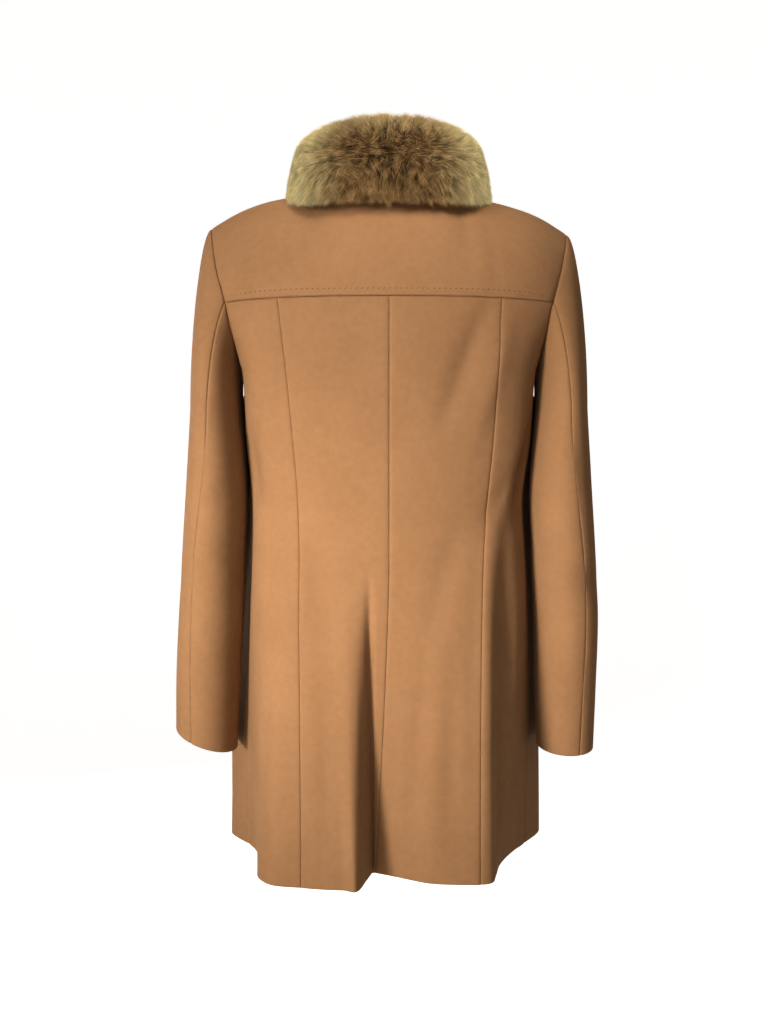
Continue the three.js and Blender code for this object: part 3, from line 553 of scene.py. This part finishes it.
# Body panels: the columns and rows they span, the seams they share, and their flat size in metres
backPanel = {"region": "back", "rows": (0, 2), "seams": "first last high"}
frontPanel = {"region": "front", "rows": (0, 3), "flat": (0.36, 0.86), "area": 0.235}
panelValues = {
    "back_side_left": {**backPanel, "columns": (0, 1), "flat": (0.21, 0.70), "area": 0.098},
    "back_centre_left": {**backPanel, "columns": (1, 2), "flat": (0.15, 0.69), "area": 0.08},
    "back_centre_right": {**backPanel, "columns": (2, 3), "flat": (0.15, 0.69), "area": 0.08},
    "back_side_right": {**backPanel, "columns": (3, 4), "flat": (0.20, 0.70), "area": 0.092},
    "back_yoke": {
        "region": "back", "columns": (0, 4), "rows": (2, 3), "seams": "first last", "flat": (0.46, 0.18),
        "area": 0.07,
    },
    "front_right": {**frontPanel, "columns": (4, 5.11), "seams": "first"},
    "front_left": {**frontPanel, "columns": (4.89, 6), "seams": "last"},
}
panelSteps = {
    "column": 0.031, "closeColumn": (0.007, 0.016), "foldColumns": (1.52, 1.93, 0.0137),
    "rows": (96, 25, 30), "closeLow": (0.002, 0.005), "closeYoke": (0.008, 0.018, 0.027),
    "closeMiddle": (0.02, 0.05),
}
rollValues = {"gap": 0.3, "rollWidth": 4.5, "rollDepth": 1.1}
# The yoke's lower edge: drawn in at the very rim, and raised just above it
yokeRim = {"drawn": 0.9, "drawnWide": 1.6, "raised": 0.7, "raisedAt": 2.6, "raisedWide": 1.7}
easeValues = {
    "low": -285.0, "high": -155.0, "step": 2.0, "half": 14, "width": 6.5, "fadeLow": 40, "fadeHigh": 20,
    "pastHigh": 15, "fadeEdge": 0.5,
}


def panelRows(low, high):
    v = panelSteps
    lines = [np.linspace(k, k + 1, count) for k, count in enumerate(v["rows"])]
    close = [v["closeLow"], v["closeMiddle"], v["closeYoke"]]
    chosen = [x for k, line in enumerate(lines) if low <= k < high for x in line]
    chosen += [low + d for d in close[low]] + [high - d for d in close[high - 1]]
    return np.array(sorted(set(np.round(chosen, 6))))


# Eases the panels' form round the armpit's level, away from the armholes
def easeArmpit(points, at, region):
    v = easeValues
    low, high, half = v["low"], v["high"], v["half"]
    levelsZ = np.arange(low - v["fadeLow"], high + v["pastHigh"], v["step"])
    kernel = np.exp(-0.5 * (np.arange(-half, half + 1) / v["width"]) ** 2)
    kernel /= kernel.sum()
    eased = points.copy()
    for c in range(points.shape[1]):
        z = points[:, c, 2]
        edge = min(at[0, c], 4 - at[0, c]) if region == "back" else min(at[0, c] - 4, 6 - at[0, c])
        weight = smooth((z - low) / v["fadeLow"]) * smooth((high - z) / v["fadeHigh"])
        weight = weight * smooth(np.array(edge / v["fadeEdge"]))
        for k in (0, 1):
            line = np.interp(levelsZ, z, points[:, c, k])
            line = np.convolve(np.pad(line, half, mode="reflect", reflect_type="odd"), kernel, "valid")
            eased[:, c, k] = mix(points[:, c, k], np.interp(z, levelsZ, line), weight)
    return eased


def buildPanel(name):
    v = panelValues[name]
    b = bodyValues
    low, high = v["columns"]
    columns = gridLines(low, high, panelSteps["column"], panelSteps["closeColumn"])
    if name == "back_centre_left":
        columns = np.array(sorted({*columns, *np.arange(*panelSteps["foldColumns"])}))
    if name == "back_yoke":
        lines = [gridLines(k, k + 1, panelSteps["column"], panelSteps["closeColumn"]) for k in range(4)]
        columns = np.array(sorted(set(np.round(np.concatenate(lines), 6))))
    at, height = np.meshgrid(columns, panelRows(*v["rows"]))
    points = bodyPoint(v["region"], at, height)
    inward = intoBody(v["region"], at, height)
    if v["rows"][0] == 0:
        points = easeArmpit(points, at, v["region"])
    seams = v["seams"].split()
    outer, roll = trimAndRoll(points, inward, seams, **rollValues)
    if name == "back_yoke":
        fromSide = smooth(b["yokeFade"] * np.minimum(at, 4 - at))
        outer = outer - inward * (b["yokeStep"] * (3 - height) ** 2 * fromSide)[..., None]
        up = lengthsFrom(points, 0)
        drawn = yokeRim["drawn"] * np.clip(1 - up / yokeRim["drawnWide"], 0, 1) ** 2
        raised = yokeRim["raised"] * np.exp(-((up - yokeRim["raisedAt"]) / yokeRim["raisedWide"]) ** 2)
        outer = outer + inward * drawn[..., None]
        outer = outer - inward * (raised * fromSide)[..., None]
    if name == "front_left":
        inset = (b["wall"] + b["lapClear"]) * smooth((5 + b["lap"] + b["lapFade"] - at) / b["lapFade"])
        outer = outer + inward * inset[..., None]
    piece = makeWall(name, outer, inward, b["wall"])
    finishPiece(piece, cashmere, [name])


for name in panelValues:
    buildPanel(name)
print("body panels made")


# Sleeves
sleeveValues = {
    "capDrop": 262, "cuffDrop": 672, "capShare": 0.32, "clear": 0.4,
    "capRows": (0.011, (0.004, 0.009)), "armRows": (0.0105, (0.003, 0.008)),
}
sleeveRings = table("drop x y wide deep tilt leftSlant rightIn rightSlim rightLow", [
    (262, 215, 0, 32, 74, 0, 0, 0, 0, 0), (310, 214, 2, 35, 71, 0, 0, 0, 0, 0),
    (375, 214, 5, 38, 66, 0.03, 0.02, 0, 0, 0), (440, 217, 4, 39, 62, 0.06, 0.08, 0, 0, 0),
    (510, 221, 0, 39.5, 58, 0.08, 0.16, 0.5, 0, 2), (600, 226, -6, 39.5, 54, 0.1, 0.27, 5, 2, 6),
    (672, 229, -12, 38, 50, 0.1, 0.37, 7.5, 3, 10),
])
capSpread = table("at out back down end", [
    (0, 3, 0, 12, 14), (0.125, 8, 5, 22, 24), (0.25, 12, 7, 34, 40), (0.375, 18, 10, 24, 60),
    (0.5, 15, 0, 5, 66), (0.625, 18, -10, 24, 60), (0.75, 12, -7, 34, 40), (0.875, 8, -5, 22, 24),
])
armSeams = table("along back front", [
    (0, 0.25, 0.875), (0.35, 0.26, 0.88), (0.6, 0.32, 0.88), (1, 0.305, 0.875),
])
# Sleeve creases: place round and along the sleeve, half sizes, slant and depth
sleeveCreases = table("at along wide long slant deep", [
    (0.20, 0.50, 0.10, 0.030, 0.10, 2.6), (0.16, 0.60, 0.11, 0.028, -0.12, 2.4),
    (0.30, 0.44, 0.10, 0.040, 0.2, 1.8), (0.32, 0.66, 0.12, 0.030, 0.15, 1.8),
    (0.22, 0.74, 0.10, 0.03, -0.1, 1.6), (0.40, 0.30, 0.07, 0.10, 0.5, 1.8),
    (0.80, 0.52, 0.12, 0.030, 0.1, 3.0), (0.84, 0.60, 0.12, 0.028, -0.1, 2.8),
    (0.70, 0.45, 0.10, 0.04, 0.2, 2.0), (0.26, 0.86, 0.10, 0.035, 0.1, 1.2),
])


def sleevePoint(side, at, along):
    v = sleeveValues
    around = np.mod(at, 1)
    share = np.clip((along - v["capShare"]) / (1 - v["capShare"]), 0, 1)
    drop = mix(v["capDrop"], v["cuffDrop"], share)
    ring = lambda name: readColumn(sleeveRings, "drop", name, drop)
    angle = math.pi * (1 - 2 * around)
    y = ring("deep") * np.sin(angle)
    isRight = side < 0
    outwards = (ring("wide") - isRight * ring("rightSlim")) * np.cos(angle)
    lift = -ring("rightLow") if isRight else ring("leftSlant") * outwards
    x = ring("x") - isRight * ring("rightIn") + outwards
    onRing = np.stack([side * x, ring("y") + y, -drop - ring("tilt") * y + lift], -1)
    spread = lambda name: readColumn(capSpread, "at", name, around, 1)
    zero = 0 * around
    start = armhole(side, around) + np.array([side * v["clear"], 0, 0])
    second = start + np.stack([side * spread("out"), spread("back"), -spread("down")], -1)
    third = onRing + np.stack([zero, zero, spread("end")], -1)
    t = np.clip(along / v["capShare"], 0, 1)[..., None]
    onCap = start * (1 - t) ** 3 + 3 * second * t * (1 - t) ** 2 + 3 * third * t**2 * (1 - t) + onRing * t**3
    return np.where((along >= v["capShare"])[..., None], onRing, onCap)


def sleeveCreaseDepth(at, along):
    depth = np.zeros_like(along)
    for centre, down, wide, long, slant, deep in zip(*sleeveCreases.values()):
        away = np.mod(at - centre + 0.5, 1) - 0.5
        across = (along - down - slant * away) / long
        depth += deep * np.exp(-(away / wide) ** 2 - across**2)
    return depth


# Steps across a sleeve's piece, and its flat size in metres
sleevePieces = {
    "upper": {"steps": (0.03, (0.008, 0.02)), "flat": (0.22, 0.66), "area": 0.11},
    "under": {"steps": (0.05, (0.012, 0.03)), "flat": (0.16, 0.56), "area": 0.07},
}


def buildSleeve(sideName, side, part):
    v = sleevePieces[part]
    name = f"sleeve_{part}_{sideName}"
    capShare = sleeveValues["capShare"]
    capRows = gridLines(0, capShare, *sleeveValues["capRows"])
    armRows = gridLines(capShare, 1, *sleeveValues["armRows"])
    rows = np.array(sorted(set(np.round(np.concatenate([capRows, armRows]), 6))))
    back = readColumn(armSeams, "along", "back", rows)
    front = readColumn(armSeams, "along", "front", rows)
    start, end = (back, front) if part == "upper" else (front - 1, back)
    shares = gridLines(0, 1, *v["steps"])
    at = mix(start[:, None], end[:, None], shares[None, :])
    along = np.repeat(rows[:, None], len(shares), 1)
    points = sleevePoint(side, at, along)
    pointAt = lambda u, w: sleevePoint(side, u, w)
    inward = -side * outwardAt(pointAt, at, along, -1e9, 1e9, 0.0, 1.0, 0.006)
    inward[0] = intoArmhole(side, at[0])
    outer, roll = trimAndRoll(points, inward, ["first", "last", "low"], **rollValues)
    depth = sleeveCreaseDepth(at, along) * (1 - roll)
    outer = outer + inward * depth[..., None]
    piece = makeWall(name, outer, inward, bodyValues["wall"], flip=side < 0)
    finishPiece(piece, cashmere, [name])


for sideName, side in (("left", 1), ("right", -1)):
    for part in ("upper", "under"):
        buildSleeve(sideName, side, part)
print("sleeves made")


# Pick stitches along the yoke's lower edge
stitchValues = {
    "above": 7.0, "yokeHigh": 135, "apart": 6.4, "long": 3.4, "wide": 0.85, "high": 0.55, "slant": 0.5,
    "ends": 8.0, "sunk": 0.1, "endSize": 0.05,
}


def buildStitches():
    v = stitchValues
    b = bodyValues
    at = np.linspace(0, 4, 2001)
    height = 2 + v["above"] / v["yokeHigh"]
    line = bodyPoint("back", at, np.full_like(at, height))
    lengths = lengthsFrom(line, 0)
    count = int((lengths[-1] - 2 * v["ends"]) / v["apart"])
    where = np.interp(v["ends"] + v["apart"] * np.arange(count), lengths, at)
    heights = np.full_like(where, height)
    centres = bodyPoint("back", where, heights)
    inward = intoBody("back", where, heights)
    lift = b["yokeStep"] * (3 - height) ** 2 * smooth(b["yokeFade"] * np.minimum(where, 4 - where))
    centres = centres - inward * (lift - v["sunk"])[:, None]
    across = unit(bodyPoint("back", where + 0.01, heights) - bodyPoint("back", where - 0.01, heights))
    upward = np.cross(-inward, across)
    along = unit(across + upward * v["slant"])
    beside = np.cross(along, -inward)
    ringCount, sideCount = 5, 6
    points, faces = [], []
    for k in range(count):
        base = len(points)
        for r in range(ringCount):
            share = r / (ringCount - 1) * 2 - 1
            size = math.sqrt(max(v["endSize"], 1 - share * share))
            for s in range(sideCount):
                angle = 2 * math.pi * s / sideCount
                points.append(centres[k] + along[k] * share * v["long"] / 2
                              + beside[k] * math.cos(angle) * size * v["wide"] / 2
                              - inward[k] * math.sin(angle) * size * v["high"] / 2)
        for r in range(ringCount - 1):
            for s in range(sideCount):
                here = base + r * sideCount + s
                beyond = base + r * sideCount + (s + 1) % sideCount
                faces.append((here, here + sideCount, beyond + sideCount, beyond))
        first, last = base, base + (ringCount - 1) * sideCount
        faces += [(first, first + 1, first + 2, first + 3), (first, first + 3, first + 4, first + 5)]
        faces += [(last + 3, last + 2, last + 1, last), (last + 5, last + 4, last + 3, last)]
    finishPiece(makeMesh("yoke_stitches", np.array(points), np.array(faces)), thread, [])


buildStitches()
print("stitches made")


# The fur collar: a skin inside the CAD solid, and hair that reaches as far as the solid does
collarValues = {
    "innerX": 80, "innerBack": 70, "innerFront": 78, "square": 2.3, "endTurn": 176, "roundTurn": 18,
    "endSize": 0.2, "middle": 30, "hairRoom": 12.0, "halfThick": 25, "halfHigh": 46,
}
collarProfile = np.array([
    (0.03, 0), (0, 0.3), (0, 0.6), (0.06, 0.86), (0.22, 0.97), (0.42, 1), (0.6, 0.94), (0.75, 0.82),
    (0.86, 0.6), (0.96, 0.3), (1, 0.07), (0.94, -0.01), (0.65, 0), (0.35, 0),
])
collarTurns = table("turn seat low top thick", [
    (0, -8, -40, 79, 48), (30, -6, -37, 77, 49), (50, -2, -32, 73, 50), (70, 6, -19, 71, 50),
    (90, 11, -6, 74, 50), (125, -12, -44, 67, 50), (180, -66, -118, 40, 46),
])


def profileLoop(count):
    dense = []
    total = len(collarProfile)
    for k in np.arange(0, total, 0.05):
        i = int(k)
        p = [collarProfile[(i + j) % total] for j in (-1, 0, 1, 2)]
        t = k - i
        dense.append(0.5 * (2 * p[1] + (p[2] - p[0]) * t + (2 * p[0] - 5 * p[1] + 4 * p[2] - p[3]) * t**2
                            + (3 * p[1] - p[0] - 3 * p[2] + p[3]) * t**3))
    dense = np.array(dense + [dense[0]])
    scaled = dense * [0.5, 1]
    lengths = lengthsFrom(scaled, 0)
    where = np.linspace(0, lengths[-1], count + 1)[:-1]
    return np.stack([np.interp(where, lengths, dense[:, k]) for k in (0, 1)], -1)


# The collar's inner line round the neck, and the way out from it
def collarLine(turn):
    v = collarValues
    across, deep = roundedSquare(np.radians(turn), v["square"])
    innerY = np.where(np.abs(turn) <= 90, v["innerBack"], v["innerFront"])
    edge = np.stack([v["innerX"] * across, innerY * deep, 0 * turn], -1)
    out = unit(np.stack([across / v["innerX"], deep / innerY, 0 * turn], -1))
    return edge, out


# How much the collar's section shrinks towards its open ends
def endSize(away):
    v = collarValues
    past = np.clip((away - v["endTurn"] + v["roundTurn"]) / v["roundTurn"], 0, 1)
    return np.maximum(v["endSize"], np.sqrt(1 - past * past))


# A point of the collar's skin, which lies inside the solid by the room that the hair needs
def collarPoint(turn, profile):
    v = collarValues
    away = np.abs(turn)
    edge, out = collarLine(turn)
    at = lambda name: readColumn(collarTurns, "turn", name, away)
    middleZ = mix(at("seat"), at("top"), 0.5)
    middle = edge + out * (at("thick") / 2)[..., None] + np.stack([0 * turn, 0 * turn, middleZ], -1)
    size = endSize(away)
    point = edge + out * (profile[..., 0] * at("thick"))[..., None]
    low = mix(at("seat"), at("low"), profile[..., 0])
    point[..., 2] = mix(low, at("top"), profile[..., 1])
    point = middle + (point - middle) * size[..., None]
    inside = point - middle
    inside[..., :2] *= 1 - v["hairRoom"] / v["halfThick"]
    inside[..., 2] *= 1 - v["hairRoom"] / v["halfHigh"]
    return middle + inside


# The skin takes the colour near the hairs' roots: painted shade under the hair
skinValues = {"turns": 160, "sides": 48, "colour": (0.1, 0.4, 0, 1.0)}


def buildSkin():
    v = skinValues
    loop = profileLoop(v["sides"])
    turns = np.linspace(-collarValues["endTurn"], collarValues["endTurn"], v["turns"])
    turn = np.repeat(turns[:, None], v["sides"], 1)
    profile = np.repeat(loop[None], v["turns"], 0)
    points = collarPoint(turn, profile)
    index = np.arange(v["turns"] * v["sides"]).reshape(v["turns"], v["sides"])
    following = np.roll(index, -1, 1)
    faces = np.stack([index[:-1], index[1:], following[1:], following[:-1]], -1).reshape(-1, 4)
    caps = []
    count = v["sides"]
    for s in range(1, count // 2):
        a, b, c, d = s - 1, s, count - 1 - s, count - s
        caps.append((index[0, a], index[0, b], index[0, c], index[0, d % count]))
        caps.append((index[-1, d % count], index[-1, c], index[-1, b], index[-1, a]))
    faces = np.concatenate([faces, np.array(caps)])
    piece = makeMesh("fur_skin", points.reshape(-1, 3), faces)
    setColours(piece, "hair", np.tile(v["colour"], (turn.size, 1)))
    finishPiece(piece, furFinish, ["fur_collar"])


buildSkin()

hairValues = {
    "pieces": 5, "perPiece": 29000, "seed": 5, "loop": 400, "nextStep": 4, "long": 31.0,
    "longSpread": (-0.25, 0.1), "wide": 0.62, "wideSpread": (0.7, 1.2), "stand": 0.65, "flow": 0.9,
    "stray": 0.22, "jitter": 0.1, "straight": 0.86, "bend": 0.3, "bendAt": 0.45, "bendReach": 0.84,
    "reach": (0.84, 0.95), "shades": (0.65, 0.35),
}
tuftValues = {
    "size": 4.5, "shift": 0.37, "keys": (73856093, 19349663, 83492791), "count": 4096, "gather": 0.45,
    "reach": 0.08, "long": (0.8, 1.1),
}
# Which way the fur lies: up above the parting, down below it, and out to the sides
flowValues = {
    "parting": 0.52, "partWide": 0.5, "upright": 1.6, "sideTurn": 50, "sideways": 0.75, "fadeTurn": 120,
    "fadeWide": 40,
}
# Shorter hair inside the collar and under it
shortValues = {"inner": 0.18, "innerShort": 0.55, "low": 0.1, "lowShort": 0.35, "most": 0.7}
# How far hair at the nape may hang below its drawn-in reach, and where that fades
hangValues = {"down": 6.0, "fade": 0.9, "turn": 25, "turnWide": 40}
paleValues = {"turn": 20, "turnWide": 38, "top": 0.4, "topFrom": 0.65, "topWide": 0.35}
# A hair is a strip: its points' share of the length, half widths and triangles
hairStrip = {
    "alongs": (0, 0, 0.45, 0.45, 0.75, 0.75, 1.0), "rootHalf": 0.5, "bendHalf": 0.45, "upperHalf": 0.3,
    "upperMix": (0.12, 0.42, 0.46), "faces": ((0, 1, 3), (0, 3, 2), (2, 3, 5), (2, 5, 4), (4, 5, 6)),
}


def hairRoots(generator, turnLow, turnHigh, count):
    loopCount = hairValues["loop"]
    loop = profileLoop(loopCount)
    turn = generator.uniform(turnLow, turnHigh, count)
    side = generator.uniform(0, loopCount, count)
    whole = side.astype(int)
    share = (side - whole)[:, None]
    profile = loop[whole % loopCount] * (1 - share) + loop[(whole + 1) % loopCount] * share
    nextProfile = loop[(whole + hairValues["nextStep"]) % loopCount]
    root = collarPoint(turn, profile)
    alongTurn = collarPoint(turn + 0.5, profile) - collarPoint(turn - 0.5, profile)
    alongSide = collarPoint(turn, nextProfile) - root
    normal = unit(np.cross(alongTurn, alongSide))
    return turn, profile, root, normal


def hairFlow(turn, profile, root, normal):
    v = flowValues
    share = (profile[:, 1] - v["parting"]) / v["partWide"]
    sideFade = np.clip((v["fadeTurn"] - np.abs(turn)) / v["fadeWide"], 0, 1)
    flow = np.zeros_like(root)
    flow[:, 2] = np.clip(share * v["upright"], -1, 1)
    flow[:, 0] = np.clip(turn / v["sideTurn"], -1, 1) * v["sideways"] * sideFade
    return flow - normal * np.sum(flow * normal, -1, keepdims=True)


# The turn round the neck at which a hair's tip stands, kept within the collar's ends
def turnAt(tip, turn):
    v = collarValues
    innerY = np.where(tip[:, 1] >= 0, v["innerBack"], v["innerFront"])
    across = tip[:, 0] / (v["innerX"] + v["middle"])
    deep = tip[:, 1] / (innerY + v["middle"])
    found = np.degrees(np.arctan2(across, deep))
    found = np.where(np.abs(found - turn) > 90, turn, found)
    return np.clip(found, -v["endTurn"], v["endTurn"])


# Draws hair tips back to the collar's section, whose reach from its middle is known by angle
def drawIn(tip, turn, reach, hang):
    away = np.abs(turn)
    at = lambda name: readColumn(collarTurns, "turn", name, away)
    edge, out = [line[:, :2] for line in collarLine(turn)]
    outShare = np.sum((tip[:, :2] - edge) * out, -1) / at("thick")
    low = mix(at("seat"), at("low"), np.clip(outShare, 0, 1))
    upShare = (tip[:, 2] - low) / (at("top") - low)
    loop = profileLoop(240) - 0.5
    angles = np.arctan2(loop[:, 1], loop[:, 0])
    order = np.argsort(angles)
    angle = np.arctan2(upShare - 0.5, outShare - 0.5)
    radius = np.interp(angle, angles[order], np.hypot(loop[:, 0], loop[:, 1])[order], period=2 * math.pi)
    limit = radius * endSize(away) * reach
    share = np.minimum(1, limit / np.hypot(outShare - 0.5, upShare - 0.5))
    outMove = (outShare - 0.5) * (share - 1) * at("thick")
    upMove = (upShare - 0.5) * (share - 1) * (at("top") - low)
    upMove = np.where(upShare < 0.5, np.maximum(0, upMove - hang), upMove)
    return tip + np.concatenate([out * outMove[:, None], upMove[:, None]], -1)


# The hairs of one small cell share a lean, a shade, a length and a middle
def hairTufts(root):
    v = tuftValues
    cell = np.floor(root / v["size"] + v["shift"]).astype(np.int64)
    parts = [cell[:, k] * v["keys"][k] for k in range(3)]
    key = np.abs(parts[0] ^ parts[1] ^ parts[2])
    tuft = (key ^ (key >> 15)) % v["count"]
    generator = np.random.default_rng(hairValues["seed"])
    lean = generator.normal(0, 1, (v["count"], 3))[tuft]
    shade = generator.uniform(0, 1, v["count"])[tuft]
    long = generator.uniform(*v["long"], v["count"])[tuft]
    which = np.unique(key, return_inverse=True)[1]
    counts = np.bincount(which)
    centre = np.stack([np.bincount(which, root[:, k]) / counts for k in range(3)], -1)[which]
    return lean, shade, long, centre


def shorterBy(profile):
    v = shortValues
    inner = np.clip((v["inner"] - profile[:, 0]) / v["inner"], 0, 1) * v["innerShort"]
    low = np.clip((v["low"] - profile[:, 1]) / v["low"], 0, 1) * v["lowShort"]
    return np.clip(inner + low, 0, v["most"])


def hangBelow(turn):
    v = hangValues
    return v["down"] * (1 - v["fade"] * smooth((np.abs(turn) - v["turn"]) / v["turnWide"]))


def paleShare(turn, profile):
    v = paleValues
    atSides = smooth((np.abs(turn) - v["turn"]) / v["turnWide"])
    return np.clip(atSides + v["top"] * smooth((profile[:, 1] - v["topFrom"]) / v["topWide"]), 0, 1)


def buildHair(number):
    v = hairValues
    strip = hairStrip
    generator = np.random.default_rng(v["seed"] + 1 + number)
    endTurn = collarValues["endTurn"]
    width = 2 * endTurn / v["pieces"]
    turnLow = -endTurn + number * width
    turn, profile, root, normal = hairRoots(generator, turnLow, turnLow + width, v["perPiece"])
    flow = hairFlow(turn, profile, root, normal)
    tuftLean, tuftShade, tuftLong, tuftCentre = hairTufts(root)
    jitter = generator.normal(0, v["jitter"], root.shape)
    way = unit(normal * v["stand"] + flow * v["flow"] + tuftLean * v["stray"] + jitter)
    long = v["long"] * tuftLong * (1 + generator.uniform(*v["longSpread"], len(root)))
    long = long * (1 - shorterBy(profile))
    tip = root + way * long[:, None] * v["straight"] + flow * (long * v["bend"])[:, None]
    tip = tip + (tuftCentre + (tip - root) - tip) * tuftValues["gather"]
    reach = generator.uniform(*v["reach"], len(root)) + tuftValues["reach"] * tuftShade
    hang = hangBelow(turn)
    tip = drawIn(tip, turnAt(tip, turn), reach, hang)
    bend = root + way * long[:, None] * v["bendAt"]
    bend = drawIn(bend, turnAt(bend, turn), reach * v["bendReach"], hang)
    beside = unit(np.cross(way, generator.normal(0, 1, root.shape)))
    wide = v["wide"] * generator.uniform(*v["wideSpread"], len(root))[:, None]
    upper = sum(share * point for share, point in zip(strip["upperMix"], (root, bend, tip)))
    points = []
    for middle, half in ((root, "rootHalf"), (bend, "bendHalf"), (upper, "upperHalf")):
        points += [middle - beside * wide * strip[half], middle + beside * wide * strip[half]]
    points = np.stack([*points, tip], 1)
    perHair = points.shape[1]
    start = np.arange(len(root))[:, None] * perHair
    triangles = np.concatenate([start + np.array(face) for face in strip["faces"]])
    piece = makeMesh(f"fur_hair_{number + 1}", points.reshape(-1, 3), triangles)
    ofTuft, ofHair = v["shades"]
    colours = np.ones((len(root), perHair, 4))
    # The share along the hair picks the colour, dark at the root: painted shade among the hairs
    colours[:, :, 0] = strip["alongs"]
    shade = ofTuft * tuftShade + ofHair * generator.uniform(0, 1, len(root))
    colours[:, :, 1] = np.clip(shade, 0, 1)[:, None]
    colours[:, :, 2] = paleShare(turn, profile)[:, None]
    setColours(piece, "hair", colours.reshape(-1, 4))
    finishPiece(piece, furFinish, [])


for number in range(hairValues["pieces"]):
    buildHair(number)
print("fur made")


# Buttons keep their CAD shape
buttonFinish = plainMaterial("horn", (0.16, 0.07, 0.025), 0.35)
for number in range(1, 5):
    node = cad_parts[f"button_{number}"]
    node.data.materials.clear()
    node.data.materials.append(buttonFinish)


# Stage: a pale floor that curves up all round
stageValues = {
    "floorZ": -1.42, "radius": 5.0, "curve": 1.6, "wall": 2.6, "colour": (0.8, 0.8, 0.8), "glow": 0.9,
    "steps": 12, "sides": 96,
}


def buildStage():
    v = stageValues
    profile = [(0.0, v["floorZ"])]
    for k in range(v["steps"] + 1):
        angle = math.pi / 2 * k / v["steps"]
        profile.append((v["radius"] - v["curve"] + v["curve"] * math.sin(angle),
                        v["floorZ"] + v["curve"] * (1 - math.cos(angle))))
    profile.append((v["radius"], v["floorZ"] + v["wall"] + v["curve"]))
    sides = v["sides"]
    points = [(0, 0, v["floorZ"] * 1000)]
    for k in range(sides):
        angle = 2 * math.pi * k / sides
        points += [(r * 1000 * math.cos(angle), r * 1000 * math.sin(angle), z * 1000) for r, z in profile[1:]]
    count = len(profile) - 1
    quads = []
    for k in range(sides):
        here = 1 + k * count
        beyond = 1 + (k + 1) % sides * count
        quads += [(here + j, beyond + j, beyond + j + 1, here + j + 1) for j in range(count - 1)]
    stage = makeMesh("floor", np.array(points, float), np.array(quads))
    disc = [(0, 1 + k * count, 1 + (k + 1) % sides * count) for k in range(sides)]
    centre = makeMesh("floor_middle", np.array(points, float), np.array(disc))
    pale = plainMaterial("paleFloor", v["colour"], 0.9)
    tree = pale.node_tree
    shader = tree.nodes["Principled BSDF"]
    seen = addNode(tree, "ShaderNodeLightPath").outputs["Is Camera Ray"]
    glow = addNode(tree, "ShaderNodeMath", {0: seen, 1: v["glow"]}, operation="MULTIPLY")
    tree.links.new(glow.outputs[0], shader.inputs["Emission Strength"])
    shader.inputs["Emission Color"].default_value = (1, 1, 1, 1)
    for piece in (stage, centre):
        piece.data.materials.append(pale)


buildStage()


# Lights
lightValues = {
    "key": {
        "kind": "SPOT", "place": (1.45, 1.95, -0.3), "aim": (0.07, 0.1, -0.45), "size": 0.4, "power": 412,
        "cone": 20.5,
    },
    "collar": {
        "kind": "SPOT", "place": (-0.5, 1.75, 0.5), "aim": (-0.02, 0.05, 0.12), "size": 0.2, "power": 330,
        "cone": 11,
    },
    "fill": {"kind": "AREA", "place": (1.1, 2.4, 0.2), "aim": (0, 0, -0.4), "size": 1.2, "power": 11},
    "top": {"kind": "AREA", "place": (0.9, 0.3, 2.0), "aim": (0, 0, -0.2), "size": 1.4, "power": 6},
    "front": {"kind": "AREA", "place": (1.0, -2.4, 0.4), "aim": (0, 0, -0.4), "size": 1.6, "power": 45},
}
warmWhite = (1.0, 0.93, 0.85)


def addLight(name, kind, place, aim, size, power, cone=0):
    data = bpy.data.lights.new(name, kind)
    data.energy = power
    data.color = warmWhite
    if kind == "SPOT":
        data.shadow_soft_size = size
        data.spot_size = math.radians(cone)
        data.spot_blend = 1.0
    else:
        data.size = size
    light = bpy.data.objects.new(name, data)
    light.location = place
    light.rotation_euler = (Vector(aim) - Vector(place)).to_track_quat("-Z", "Y").to_euler()
    bpy.context.collection.objects.link(light)


for name, values in lightValues.items():
    addLight(name, **values)
world = bpy.data.worlds.new("studio")
world.use_nodes = True
background = world.node_tree.nodes["Background"]
background.inputs["Color"].default_value = (1, 0.86, 0.72, 1)
background.inputs["Strength"].default_value = 0.07
bpy.context.scene.world = world
bpy.context.scene.view_settings.view_transform = "Standard"
print("stage and lights made")
